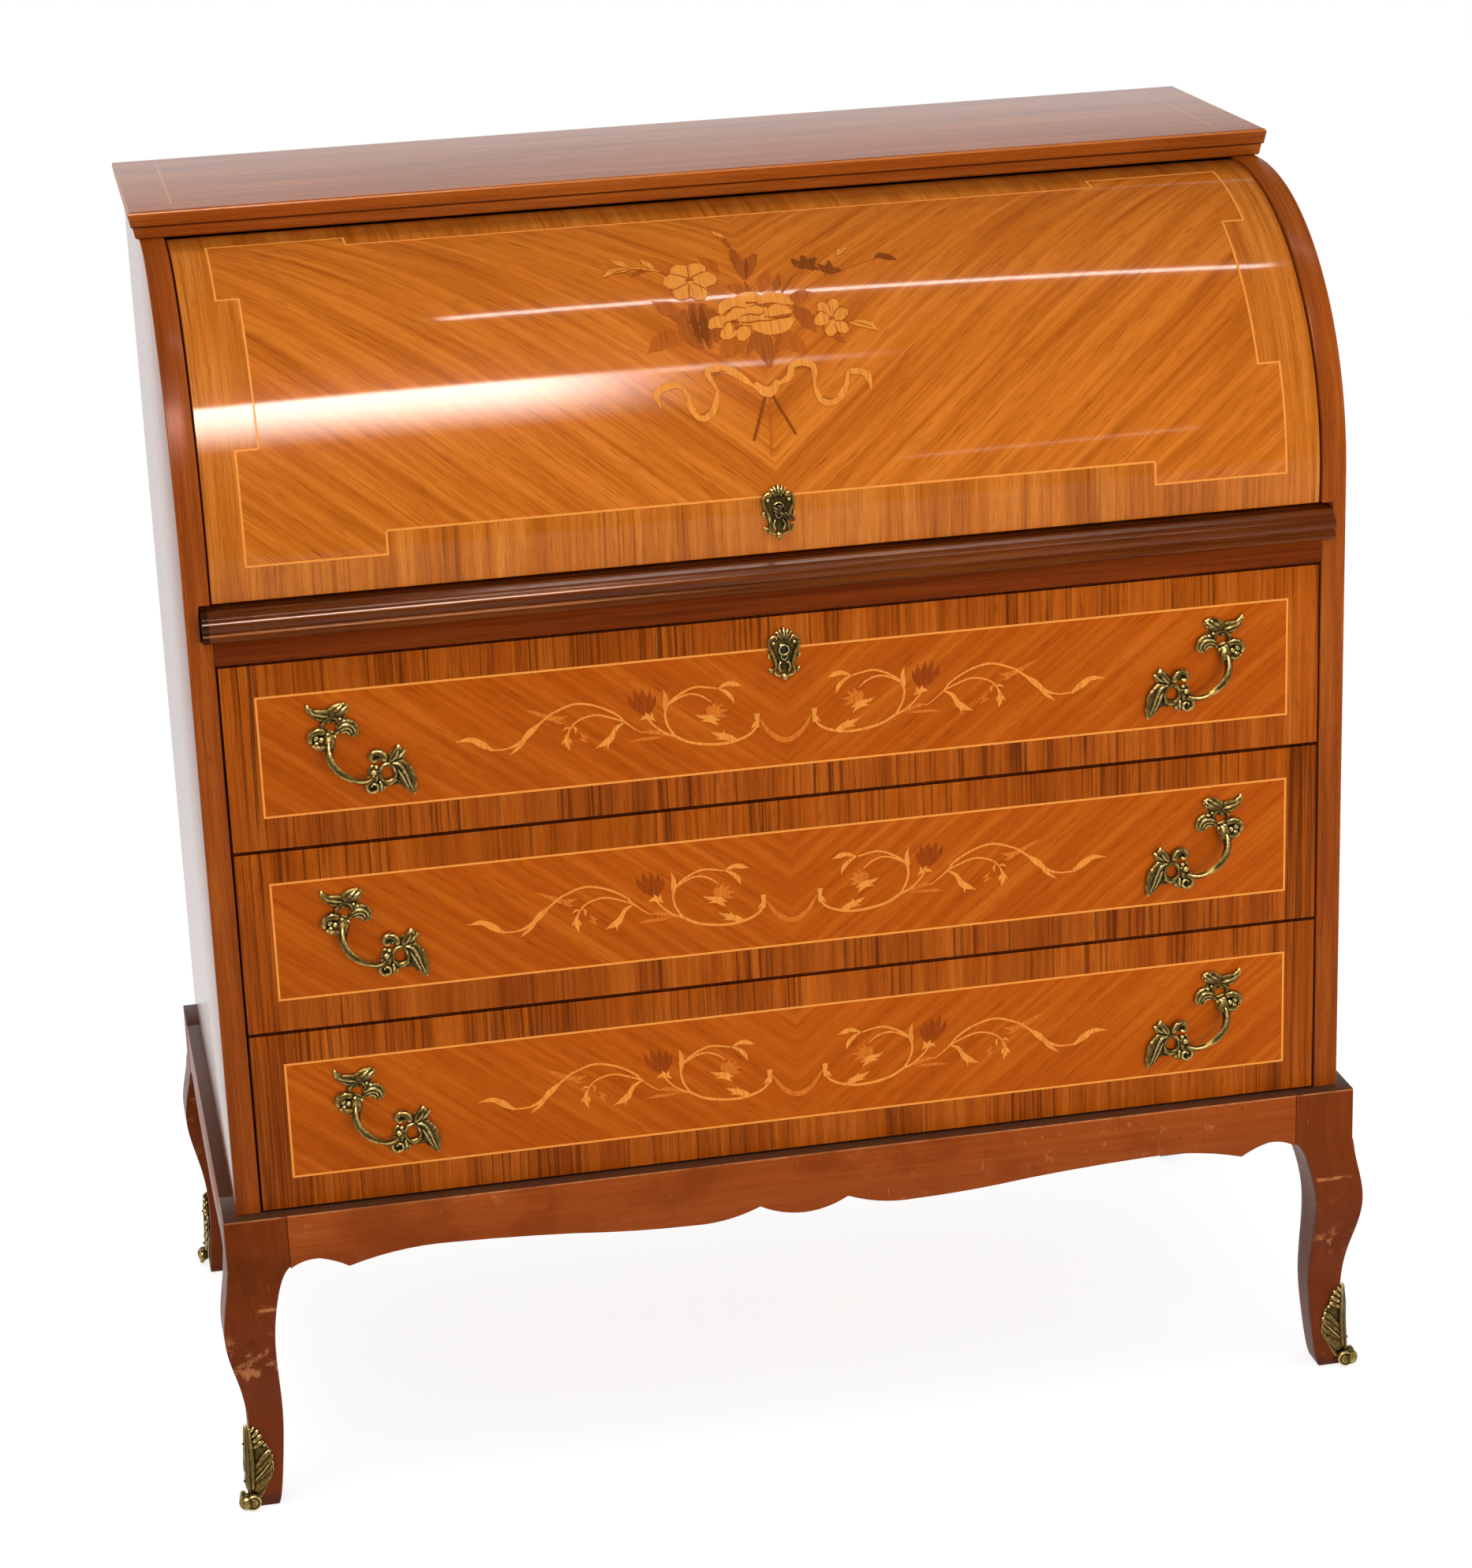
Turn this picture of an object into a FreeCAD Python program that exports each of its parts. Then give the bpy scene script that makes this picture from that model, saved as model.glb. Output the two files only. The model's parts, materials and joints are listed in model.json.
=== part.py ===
import FreeCAD, Part
import math
import os
from types import SimpleNamespace

import Sketcher

# Cylinder desk: a veneered carcase with a quarter-round roll, a writing slide and three drawers,
# on a separate stand with cabriole legs. X is right, Y is back, Z is up, and the floor is at zero.

driving = {
    # carcase
    "carcase_width": 920, "carcase_depth": 458, "side_thickness": 20, "back_thickness": 12,
    "side_radius": 216.5, "axis_rise": 27.4, "rail_height": 19.5, "rail_depth": 22, "dust_thickness": 6,
    # top board with its stepped edge
    "top_fascia": 10, "top_lip": 12.3, "top_overhang": 7.7, "top_step": 1.4, "top_back_overhang": 6,
    "top_slant_angle": 10, "top_round": 2.5,
    # stand
    "stand_height": 257, "stand_overhang": 11, "leg_block": 50, "block_height": 45, "knee_out": 7.4,
    "apron_thickness": 22, "apron_depth": 52.4, "sabot_height": 73, "sabot_reach": 17.5,
    "sabot_thickness": 3.2, "toe_radius": 7.5, "toe_reach": 8.4,
    # drawers
    "drawer_height": 150.5, "drawer_gap": 1.2, "front_thickness": 18, "drawer_rear_gap": 26,
    "drawer_lift": 14, "drawer_headroom": 12.5, "drawer_side_thickness": 10, "drawer_side_gap": 1,
    "drawer_back_drop": 8, "drawer_bottom_rise": 6, "drawer_bottom_thickness": 5, "drawer_groove": 4,
    "runner_width": 20, "runner_height": 11, "run_gap": 0.3, "runner_setback": 2,
    # handles
    "handle_inset": 125.6, "scroll_offset": 22, "scroll_radius": 6.8, "scroll_tube": 2.6, "bow_radius": 33.8,
    "bow_tube": 3.4, "bow_standoff": 13, "bow_span_angle": 100, "leaf_length": 9.9, "leaf_width": 5.5,
    "leaf_rise": 4.4,
    # writing slide
    "slide_thickness": 24, "slide_rear_gap": 10, "slide_gap": 0.3, "slide_groove": 9, "slide_side_gap": 1,
    "notch_rise": 4.3, "notch_length": 30, "nosing_reach": 11, "nosing_back": 6, "leather_margin": 48,
    "leather_back_margin": 18, "leather_thickness": 1.5,
    # roll
    "roll_recess": 2, "roll_thickness": 15, "roll_side_gap": 1, "roll_tuck": 15, "end_thickness": 11,
    "hub_radius": 21, "pin_radius": 6, "pin_depth": 12, "pin_clearance": 0.05, "seat_gap": 0.05,
    # locks, escutcheons and key
    "lock_width": 62, "lock_height": 42, "lock_thickness": 12, "lock_rise": 5, "keyhole_rise": 13.5,
    "bore_radius": 3.2, "plate_width": 26, "plate_height": 44.5, "plate_thickness": 2.2, "plate_drop": 26,
    "key_radius": 2.6, "key_reach": 30, "key_bow_radius": 8.4, "key_bow_tube": 1.9, "key_bow_angle": 35,
    "key_depth": 8, "bit_drop": 5, "bit_length": 4, "drawer_plate_inset": 9.5, "drawer_lock_inset": 4,
    # pigeonhole nest
    "bed_thickness": 10, "nest_setback": 24, "nest_rear_gap": 75.5, "nest_height": 128, "nest_gap": 2,
    "nest_board": 8, "nest_back_thickness": 5, "centre_half": 196, "shelf_height": 56, "shelf_thickness": 6,
    "inner_gap": 0.6, "inner_front_thickness": 8, "inner_wall": 5, "inner_floor": 4, "inner_rear_gap": 13,
    "knob_radius": 7, "knob_swell": 5.6, "knob_neck": 3, "knob_reach": 14,
    # one overrun for all cuts
    "overrun": 5,
}

doc = FreeCAD.newDocument("CylinderDesk")
sheet = doc.addObject("Spreadsheet::Sheet", "Sizes")
for row, (name, number) in enumerate(driving.items(), start=1):
    sheet.set(f"A{row}", name)
    sheet.set(f"B{row}", str(number))
    sheet.setAlias(f"B{row}", name)
doc.recompute()


class Size:
    # a length that carries both its value and its sheet expression

    def __init__(self, value, text):
        self.value = float(value)
        self.text = text

    def __add__(self, other):
        return Size(self.value + number_of(other), f"({self.text} + {text_of(other)})")

    def __sub__(self, other):
        return Size(self.value - number_of(other), f"({self.text} - {text_of(other)})")

    def __mul__(self, share):
        return Size(self.value * share, f"({self.text} * {share})")

    def __truediv__(self, share):
        return Size(self.value / share, f"({self.text} / {share})")

    def __neg__(self):
        return Size(-self.value, f"(0 - {self.text})")


def number_of(size):
    return size.value if isinstance(size, Size) else size


def text_of(size):
    return size.text if isinstance(size, Size) else str(size)


s = SimpleNamespace(**{name: Size(sheet.get(name), f"Sizes.{name}") for name in driving})
zero = Size(0, "0")
pieces = []

# turns that lay a round bar, drawn along Z, along X or Y
along_x = FreeCAD.Rotation(FreeCAD.Vector(0, 1, 0), 90)
along_y = FreeCAD.Rotation(FreeCAD.Vector(1, 0, 0), -90)


def bind(item, **sizes):
    for key, size in sizes.items():
        item.setExpression(key, text_of(size))


def place(item, x, y, z, turn=None):
    if turn is not None:
        item.Placement = FreeCAD.Placement(FreeCAD.Vector(), turn)
    for key, size in zip("xyz", (x, y, z)):
        item.setExpression(f"Placement.Base.{key}", text_of(size))
    return item


def box(label, low, high):
    item = doc.addObject("Part::Box", label)
    bind(item, Length=high[0] - low[0], Width=high[1] - low[1], Height=high[2] - low[2])
    return place(item, *low)


def rod(label, radius, length, start, turn=None):
    item = doc.addObject("Part::Cylinder", label)
    bind(item, Radius=radius, Height=length)
    return place(item, *start, turn)


def blob(label, radii, centre, turn=None):
    item = doc.addObject("Part::Ellipsoid", label)
    bind(item, Radius2=radii[0], Radius3=radii[1], Radius1=radii[2])
    item.Angle1 = -90
    return place(item, *centre, turn)


def fuse(label, *items):
    item = doc.addObject("Part::MultiFuse", label)
    item.Shapes = list(items)
    return item


def group(label, *items):
    item = doc.addObject("Part::Compound", label)
    item.Links = list(items)
    return item


def cut(label, base, *tools):
    item = doc.addObject("Part::Cut", label)
    item.Base = base
    item.Tool = tools[0] if len(tools) == 1 else fuse(label + "_tools", *tools)
    return item


def common(label, first, second):
    item = doc.addObject("Part::Common", label)
    item.Base = first
    item.Tool = second
    return item


def mirror(label, source, normal=(1, 0, 0), base_y=None):
    item = doc.addObject("Part::Mirroring", label)
    item.Source = source
    item.Normal = FreeCAD.Vector(*normal)
    if base_y is not None:
        item.setExpression("Base.y", text_of(base_y))
    return item


def keep(*items):
    pieces.extend(items)


def pad(label, plane, offset, points, length):
    # a closed outline of lines and three-point arcs, padded; each point is (across, up, via or None)
    body = doc.addObject("PartDesign::Body", label)
    sketch = body.newObject("Sketcher::SketchObject", label + "_outline")
    origin = [item for item in body.Origin.OriginFeatures if item.Role == plane][0]
    sketch.AttachmentSupport = [(origin, "")]
    sketch.MapMode = "FlatFace"
    sketch.setExpression("AttachmentOffset.Base.z", text_of(offset))
    corners = [FreeCAD.Vector(number_of(x), number_of(z), 0) for x, z, via in points]
    ends = []
    for index, (x, z, via) in enumerate(points):
        start = corners[index - 1]
        if via is None:
            edge = Part.LineSegment(start, corners[index])
        else:
            middle = FreeCAD.Vector(number_of(via[0]), number_of(via[1]), 0)
            edge = Part.Arc(start, middle, corners[index])
        geometry = sketch.addGeometry(edge)
        ends.append(sketch_ends(sketch, geometry, start))
    for index, (x, z, via) in enumerate(points):
        last_edge, first_edge = ends[index], ends[(index + 1) % len(points)]
        sketch.addConstraint(Sketcher.Constraint("Coincident", *last_edge[1], *first_edge[0]))
        hold(sketch, "DistanceX", last_edge[1], x)
        hold(sketch, "DistanceY", last_edge[1], z)
        if via is not None:
            middle = FreeCAD.Vector(number_of(via[0]), number_of(via[1]), 0)
            point = sketch.addGeometry(Part.Point(middle), True)
            hold(sketch, "DistanceX", (point, 1), via[0])
            hold(sketch, "DistanceY", (point, 1), via[1])
            sketch.addConstraint(Sketcher.Constraint("PointOnObject", point, 1, last_edge[1][0]))
    feature = body.newObject("PartDesign::Pad", label + "_pad")
    feature.Profile = sketch
    feature.setExpression("Length", text_of(length))
    return body


def sketch_ends(sketch, geometry, start):
    # an arc is always kept anticlockwise, so its first end may be the outline's last
    to_first = sketch.getPoint(geometry, 1).distanceToPoint(start)
    to_second = sketch.getPoint(geometry, 2).distanceToPoint(start)
    order = (1, 2) if to_first < to_second else (2, 1)
    return (geometry, order[0]), (geometry, order[1])


def hold(sketch, kind, end, size):
    number = sketch.addConstraint(Sketcher.Constraint(kind, -1, 1, *end, number_of(size)))
    sketch.setExpression(f"Constraints[{number}]", text_of(size))


def both_sides(half):
    # a right half outline, from the middle outwards, and its mirror image back to the middle
    left = []
    for index in range(len(half) - 1, 0, -1):
        via = half[index][2]
        inward_x, inward_z = half[index - 1][:2]
        left.append((-inward_x, inward_z, (-via[0], via[1])))
    return half[1:], left


# places that several pieces share
half_width = s.carcase_width / 2
inner = half_width - s.side_thickness
front = -(s.carcase_depth + s.toe_reach - s.key_reach) / 2
back = front + s.carcase_depth
back_inside = back - s.back_thickness
drawer_pitch = s.drawer_height + s.drawer_gap
rail_top = s.stand_height + s.drawer_gap + drawer_pitch * 3 + s.rail_height
slide_low = rail_top + s.slide_gap
slide_top = slide_low + s.slide_thickness
axis_y = front + s.side_radius
axis_z = slide_top + s.axis_rise
top_under = axis_z + s.side_radius
stand_half = half_width + s.stand_overhang
stand_front = front - s.stand_overhang
stand_middle = (stand_front + back) / 2
roll_radius = s.side_radius - s.roll_recess
roll_inside = roll_radius - s.roll_thickness
roll_half = inner - s.roll_side_gap
roll_low = slide_top + s.notch_rise
keyhole_z = axis_z + s.keyhole_rise
bed_top = slide_top + s.slide_gap + s.bed_thickness

# leg stations: height as a share of the stand's, then how far the outer and inner edges stand out
# from the block's outer face, as shares of the knee's reach and of the block
leg_shares = [
    (0.825, 0.0, 1.0), (0.774, 0.26, 0.83), (0.708, 0.66, 0.735), (0.623, 1.0, 0.668), (0.529, 0.62, 0.658),
    (0.436, -0.16, 0.678), (0.304, -0.8, 0.696), (0.148, -0.68, 0.64), (0.05, -0.44, 0.58),
    (0.0, -0.36, 0.52),
]
block_share = leg_shares[0][0]
ground_share = leg_shares[-1][1]

# height of the widest part of a foot's brass leaf, as a share of the leaf's own height
widest_share = 0.42

# lower edge of the front apron: the end of each stretch, then its middle, as shares of half the
# length and of the depth
apron_shares = [
    ((0.0874, 0.811), (0.047, 0.946)), ((0.219, 0.998), (0.1425, 0.95)), ((0.451, 0.882), (0.33, 0.966)),
    ((0.69, 0.777), (0.57, 0.817)), ((0.888, 0.968), (0.80, 0.815)), ((0.943, 0.779), (0.911, 0.868)),
    ((1.0, 0.9), (0.977, 0.808)),
]

# lower edge of the side rails, in the same shares
rail_shares = [((0.86, 0.779), (0.45, 0.91)), ((1.0, 0.9), (0.945, 0.805))]

# half of an escutcheon's outline, from its lower tip, as shares of half its width and its height
plate_shares = [
    ((0.52, 0.2), (0.36, 0.07)), ((0.72, 0.46), (0.5, 0.34)), ((0.82, 0.78), (1.0, 0.63)),
    ((0.34, 0.9), (0.56, 0.86)), ((0.0, 1.0), (0.22, 0.98)),
]

# leaves of a handle: which scroll, direction in degrees, then length and width as shares of the leaf's own
leaf_shares = [
    (-1, 132, 1.0, 0.82), (-1, 50, 0.76, 0.9), (-1, 202, 0.65, 1.0), (-1, -22, 0.5, 0.9),
    (1, -45, 1.15, 1.0), (1, 49, 0.89, 0.82), (1, -130, 0.73, 1.0), (1, 117, 0.63, 0.9),
]

# how far a leaf's middle lies beyond its scroll, and the thickness of a bow's posts and end balls,
# as shares of the leaf's length and of the bow's tube
leaf_seat_share, post_share, ball_share = 0.9, 0.85, 1.25


def leg_loft(label, grow):
    # square sections that stand out at the knee and draw in at the ankle, on the outer front right corner
    sections = []
    for number, (height_share, outer_share, inner_share) in enumerate(leg_shares):
        outer = s.knee_out * outer_share + grow
        width = outer + s.leg_block * inner_share
        section = doc.addObject("Part::Plane", f"{label}_section_{number}")
        bind(section, Length=width, Width=width)
        x = stand_half - s.leg_block * inner_share
        place(section, x, stand_front - outer, s.stand_height * height_share)
        sections.append(section)
    loft = doc.addObject("Part::Loft", label)
    loft.Sections = sections
    loft.Solid = True
    loft.Ruled = False
    return loft


def four_corners(front_right, name):
    front_left = mirror(f"{name}_front_left", front_right)
    rear_right = mirror(f"{name}_rear_right", front_right, (0, 1, 0), stand_middle)
    rear_left = mirror(f"{name}_rear_left", rear_right)
    keep(front_right, front_left, rear_right, rear_left)


def stand():
    block_low = s.stand_height * block_share
    block = box("leg_block", (stand_half - s.leg_block, stand_front, block_low),
                (stand_half, stand_front + s.leg_block, s.stand_height))
    shank = leg_loft("leg_shank", zero)
    leg = fuse("leg_front_right", block, shank)
    four_corners(leg, "leg")
    # a brass leaf wraps the outer corner of each foot and ends in a round toe
    corner_x = stand_half + s.knee_out * ground_share
    corner_y = stand_front - s.knee_out * ground_share
    leaf_size = (s.sabot_reach, s.sabot_reach, s.sabot_height * (1 - widest_share))
    leaf = blob("sabot_leaf", leaf_size, (corner_x, corner_y, s.sabot_height * widest_share))
    skin = common("sabot_skin", leg_loft("sabot_wrap", s.sabot_thickness), leaf)
    toe_x = stand_half + s.toe_reach - s.toe_radius
    toe_y = stand_front - s.toe_reach + s.toe_radius
    toe = blob("sabot_toe", (s.toe_radius, s.toe_radius, s.toe_radius), (toe_x, toe_y, s.toe_radius))
    four_corners(cut("sabot_front_right", fuse("sabot_cast", skin, toe), leg), "sabot")

    apron_half = stand_half - s.leg_block
    half = [(zero, s.stand_height - s.apron_depth, None)]
    for (x, depth), (via_x, via_depth) in apron_shares:
        via = (apron_half * via_x, s.stand_height - s.apron_depth * via_depth)
        half.append((apron_half * x, s.stand_height - s.apron_depth * depth, via))
    right, left = both_sides(half)
    outline = right + [(apron_half, s.stand_height, None), (-apron_half, s.stand_height, None)]
    outline += [(-apron_half, half[-1][1], None)] + left
    keep(pad("apron_front", "XZ_Plane", -(stand_front + s.apron_thickness), outline, s.apron_thickness))
    rear_rail = box("rail_back", (-apron_half, back - s.apron_thickness, s.stand_height - s.block_height),
                    (apron_half, back, s.stand_height))
    side_half = (back - stand_front) / 2 - s.leg_block
    half = [(zero, s.stand_height - s.apron_depth * rail_shares[0][1][1], None)]
    for (y, depth), (via_y, via_depth) in rail_shares:
        via = (side_half * via_y, s.stand_height - s.apron_depth * via_depth)
        half.append((side_half * y, s.stand_height - s.apron_depth * depth, via))
    right, left = both_sides(half)
    outline = right + [(side_half, s.stand_height, None), (-side_half, s.stand_height, None)]
    outline += [(-side_half, half[-1][1], None)] + left
    outline = [(stand_middle + y, z, via and (stand_middle + via[0], via[1])) for y, z, via in outline]
    side_rail = pad("rail_side_right", "YZ_Plane", stand_half - s.apron_thickness, outline, s.apron_thickness)
    keep(rear_rail, side_rail, mirror("rail_side_left", side_rail))


def carcase():
    board = box("side_board", (inner, front, s.stand_height), (half_width, back, top_under))
    corner = box("side_corner", (inner - s.overrun, front - s.overrun, axis_z),
                 (half_width + s.overrun, axis_y, top_under + s.overrun))
    curve = rod("side_curve", s.side_radius, s.side_thickness + s.overrun * 4,
                (inner - s.overrun * 2, axis_y, axis_z), along_x)
    groove = box("side_groove", (inner - s.overrun, front - s.overrun, rail_top),
                 (inner + s.slide_groove, back_inside, slide_top + s.slide_gap))
    notch = box("side_notch", (inner - s.overrun, front - s.overrun, rail_top),
                (inner + s.slide_groove, front + s.notch_length, roll_low))
    seat = rod("side_pin_seat", s.pin_radius + s.seat_gap, s.pin_depth + s.overrun,
               (inner - s.overrun, axis_y, axis_z), along_x)
    side = cut("side_right", board, cut("side_waste", corner, curve), groove, notch, seat)
    keep(side, mirror("side_left", side))
    behind_fronts = front + s.front_thickness + s.runner_setback
    keep(box("bottom_board", (-inner, behind_fronts, s.stand_height),
             (inner, back_inside, s.stand_height + s.drawer_gap + s.drawer_lift - s.run_gap)))
    keep(box("back_panel", (-inner, back_inside, s.stand_height), (inner, back, top_under)))
    keep(box("rail_front", (-inner, front, rail_top - s.rail_height),
             (inner, front + s.rail_depth, rail_top)))
    keep(box("dust_board", (-inner, front + s.rail_depth, rail_top - s.dust_thickness),
             (inner, back_inside, rail_top)))
    runners = []
    for number in (1, 2):
        seat_z = s.stand_height + s.drawer_gap + drawer_pitch * number + s.drawer_lift - s.run_gap
        runner_low = (inner - s.runner_width, behind_fronts, seat_z - s.runner_height)
        runner = box(f"runner_{number}_right", runner_low, (inner, back_inside, seat_z))
        runners += [runner, mirror(f"runner_{number}_left", runner)]
    keep(group("drawer_runners", *runners))
    keep(box("bed_board", (-inner, axis_y + s.nest_setback, slide_top + s.slide_gap),
             (inner, back_inside, bed_top)))


def top_board():
    # a fascia and a lip above it, both slanting out upwards, with soft edges
    body = doc.addObject("PartDesign::Body", "top_board")
    slant = math.tan(math.radians(s.top_slant_angle.value))
    lean = s.top_lip * slant
    steps = [("fascia", zero, s.top_fascia, s.top_overhang - lean - s.top_step - s.top_fascia * slant),
             ("lip", s.top_fascia, s.top_lip, s.top_overhang - lean)]
    plane = [item for item in body.Origin.OriginFeatures if item.Role == "XY_Plane"][0]
    for name, rise, height, overhang in steps:
        sketch = body.newObject("Sketcher::SketchObject", f"top_{name}_outline")
        sketch.AttachmentSupport = [(plane, "")]
        sketch.MapMode = "FlatFace"
        sketch.setExpression("AttachmentOffset.Base.z", text_of(top_under + rise))
        x = half_width + overhang
        near = axis_y + s.top_overhang - overhang
        far = back + s.top_back_overhang - (s.top_overhang - overhang)
        spots = [(-x, near), (x, near), (x, far), (-x, far)]
        corners = [FreeCAD.Vector(u.value, v.value, 0) for u, v in spots]
        edges = [sketch.addGeometry(Part.LineSegment(corners[i], corners[(i + 1) % 4])) for i in range(4)]
        for i in range(4):
            sketch.addConstraint(Sketcher.Constraint("Coincident", edges[i], 2, edges[(i + 1) % 4], 1))
            hold(sketch, "DistanceX", (edges[i], 1), spots[i][0])
            hold(sketch, "DistanceY", (edges[i], 1), spots[i][1])
        feature = body.newObject("PartDesign::Pad", f"top_{name}")
        feature.Profile = sketch
        feature.setExpression("Length", text_of(height))
        feature.setExpression("TaperAngle", text_of(s.top_slant_angle))
    doc.recompute()
    top = (top_under + s.top_fascia + s.top_lip).value
    rim = [f"Edge{i}" for i, edge in enumerate(feature.Shape.Edges, start=1)
           if abs(edge.BoundBox.ZMin - top) < s.top_step.value]
    low = [f"Edge{i}" for i, edge in enumerate(feature.Shape.Edges, start=1)
           if abs(edge.BoundBox.ZMax - top_under.value) < s.top_step.value]
    soft = body.newObject("PartDesign::Fillet", "top_soft_edges")
    soft.Base = (feature, rim + low)
    soft.setExpression("Radius", text_of(s.top_round))
    keep(body)


def sector(label, radius, length, start_x):
    # a quarter disc, from the roll's lower edge to the tuck under the top board
    item = doc.addObject("Part::Cylinder", label)
    lip_angle = math.asin((axis_z - roll_low).value / roll_radius.value)
    tuck_angle = math.asin(s.roll_tuck.value / roll_radius.value)
    bind(item, Radius=radius, Height=length)
    item.Angle = math.degrees(lip_angle + math.pi / 2 + tuck_angle)
    forward = FreeCAD.Vector(0, -math.cos(lip_angle), -math.sin(lip_angle))
    upward = FreeCAD.Vector(0, -math.sin(lip_angle), math.cos(lip_angle))
    turn = FreeCAD.Rotation(forward, upward, FreeCAD.Vector(-1, 0, 0), "ZXY")
    return place(item, start_x, axis_y, axis_z, turn)


def plate_outline(low):
    half = [(zero, low, None)]
    for (x, z), (via_x, via_z) in plate_shares:
        via = (s.plate_width * (via_x / 2), low + s.plate_height * via_z)
        half.append((s.plate_width * (x / 2), low + s.plate_height * z, via))
    right, left = both_sides(half)
    return right + left


def roll():
    bore = rod("roll_keyhole", s.bore_radius, s.roll_thickness + s.overrun * 2,
               (zero, axis_y - roll_radius - s.overrun, keyhole_z), along_y)
    core = rod("roll_core", roll_inside, roll_half * 2 + s.overrun * 2,
               (-(roll_half + s.overrun), axis_y, axis_z), along_x)
    keep(cut("cylinder_shell", sector("roll_solid", roll_radius, roll_half * 2, roll_half), core, bore))
    quadrant = sector("end_quadrant", roll_inside - s.seat_gap, s.end_thickness, roll_half)
    pivot = (roll_half - s.end_thickness, axis_y, axis_z)
    hub = rod("end_hub", s.hub_radius, s.end_thickness, pivot, along_x)
    eye = rod("end_eye", s.pin_radius + s.pin_clearance, s.end_thickness + s.overrun * 2,
              (roll_half - s.end_thickness - s.overrun, axis_y, axis_z), along_x)
    end = cut("cylinder_end_right", fuse("end_board", quadrant, hub), eye)
    keep(end, mirror("cylinder_end_left", end))
    pin_length = s.pin_depth + s.roll_side_gap + s.end_thickness
    pin = rod("pivot_pin_right", s.pin_radius, pin_length, pivot, along_x)
    keep(group("pivot_pins", pin, mirror("pivot_pin_left", pin)))
    # the lock is let in behind the lower edge, with room for the key's bit to turn
    lock_low = roll_low + s.lock_rise
    block = box("lock_block", (-s.lock_width / 2, axis_y - roll_radius, lock_low),
                (s.lock_width / 2, axis_y - roll_inside + s.lock_thickness, lock_low + s.lock_height))
    bed = rod("lock_bed", roll_inside - s.seat_gap, s.lock_width + s.overrun * 2,
              (-(s.lock_width / 2 + s.overrun), axis_y, axis_z), along_x)
    key_end = axis_y - roll_inside + s.key_depth
    throat = rod("lock_throat", s.bore_radius, s.overrun + s.key_depth,
                 (zero, axis_y - roll_inside - s.overrun, keyhole_z), along_y)
    ward = rod("lock_ward", s.key_radius + s.bit_drop + s.run_gap, s.bit_length + s.run_gap * 2,
               (zero, key_end - s.bit_length - s.run_gap, keyhole_z), along_y)
    keep(cut("cylinder_lock", common("lock_case", block, bed), throat, ward))
    # the escutcheon follows the curve of the roll
    low = keyhole_z - s.plate_drop
    blank = pad("plate_blank", "XZ_Plane", -(axis_y - roll_inside), plate_outline(low),
                s.roll_thickness + s.overrun * 2)
    skin_length = s.plate_width + s.overrun * 2
    start = (-skin_length / 2, axis_y, axis_z)
    skin = cut("plate_skin", rod("plate_outer", roll_radius + s.plate_thickness, skin_length, start, along_x),
               rod("plate_inner", roll_radius, skin_length, start, along_x))
    eye = rod("plate_eye", s.bore_radius, s.roll_thickness + s.overrun * 2,
              (zero, axis_y - roll_radius - s.overrun, keyhole_z), along_y)
    keep(cut("cylinder_escutcheon", common("plate_curved", blank, skin), eye))
    key(key_end)


def key(key_end):
    bow_y = front - s.key_reach + s.key_bow_radius + s.key_bow_tube
    bow = doc.addObject("Part::Torus", "key_bow")
    bind(bow, Radius1=s.key_bow_radius, Radius2=s.key_bow_tube)
    turn = FreeCAD.Rotation(FreeCAD.Vector(0, 1, 0), s.key_bow_angle.value)
    place(bow, zero, bow_y, keyhole_z, turn)
    shank_start = bow_y + s.key_bow_radius
    shank = rod("key_shank", s.key_radius, key_end - shank_start, (zero, shank_start, keyhole_z), along_y)
    collar = rod("key_collar", s.key_radius + s.key_bow_tube / 2, s.key_bow_tube * 2,
                 (zero, shank_start + s.key_bow_tube, keyhole_z), along_y)
    bit = box("key_bit", (-s.key_radius / 2, key_end - s.bit_length, keyhole_z - s.key_radius - s.bit_drop),
              (s.key_radius / 2, key_end, keyhole_z))
    keep(fuse("key", bow, shank, collar, bit))


def writing_slide():
    half = inner + s.slide_groove - s.slide_side_gap
    board_front = front + s.nosing_back
    slide_rear = back_inside - s.slide_rear_gap
    board = box("slide_blank", (-half, board_front, slide_low), (half, slide_rear, slide_top))
    low = (-(half - s.leather_margin), front + s.leather_margin, slide_top - s.leather_thickness)
    inlay_back = slide_rear - s.leather_back_margin
    recess = box("slide_recess", low, (half - s.leather_margin, inlay_back, slide_top + s.overrun))
    keep(cut("writing_slide", board, recess))
    keep(box("slide_leather", low, (half - s.leather_margin, inlay_back, slide_top)))
    radius = s.slide_thickness / 2
    centre_y = front - s.nosing_reach + radius
    bar = rod("nosing_bar", radius, half * 2, (-half, centre_y, slide_low + radius), along_x)
    ahead = box("nosing_ahead", (-half, centre_y - radius, slide_low), (half, centre_y, slide_top))
    strip = box("nosing_strip", (-half, centre_y, slide_low), (half, board_front, slide_top))
    keep(fuse("slide_nosing", common("nosing_round", bar, ahead), strip))


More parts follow.
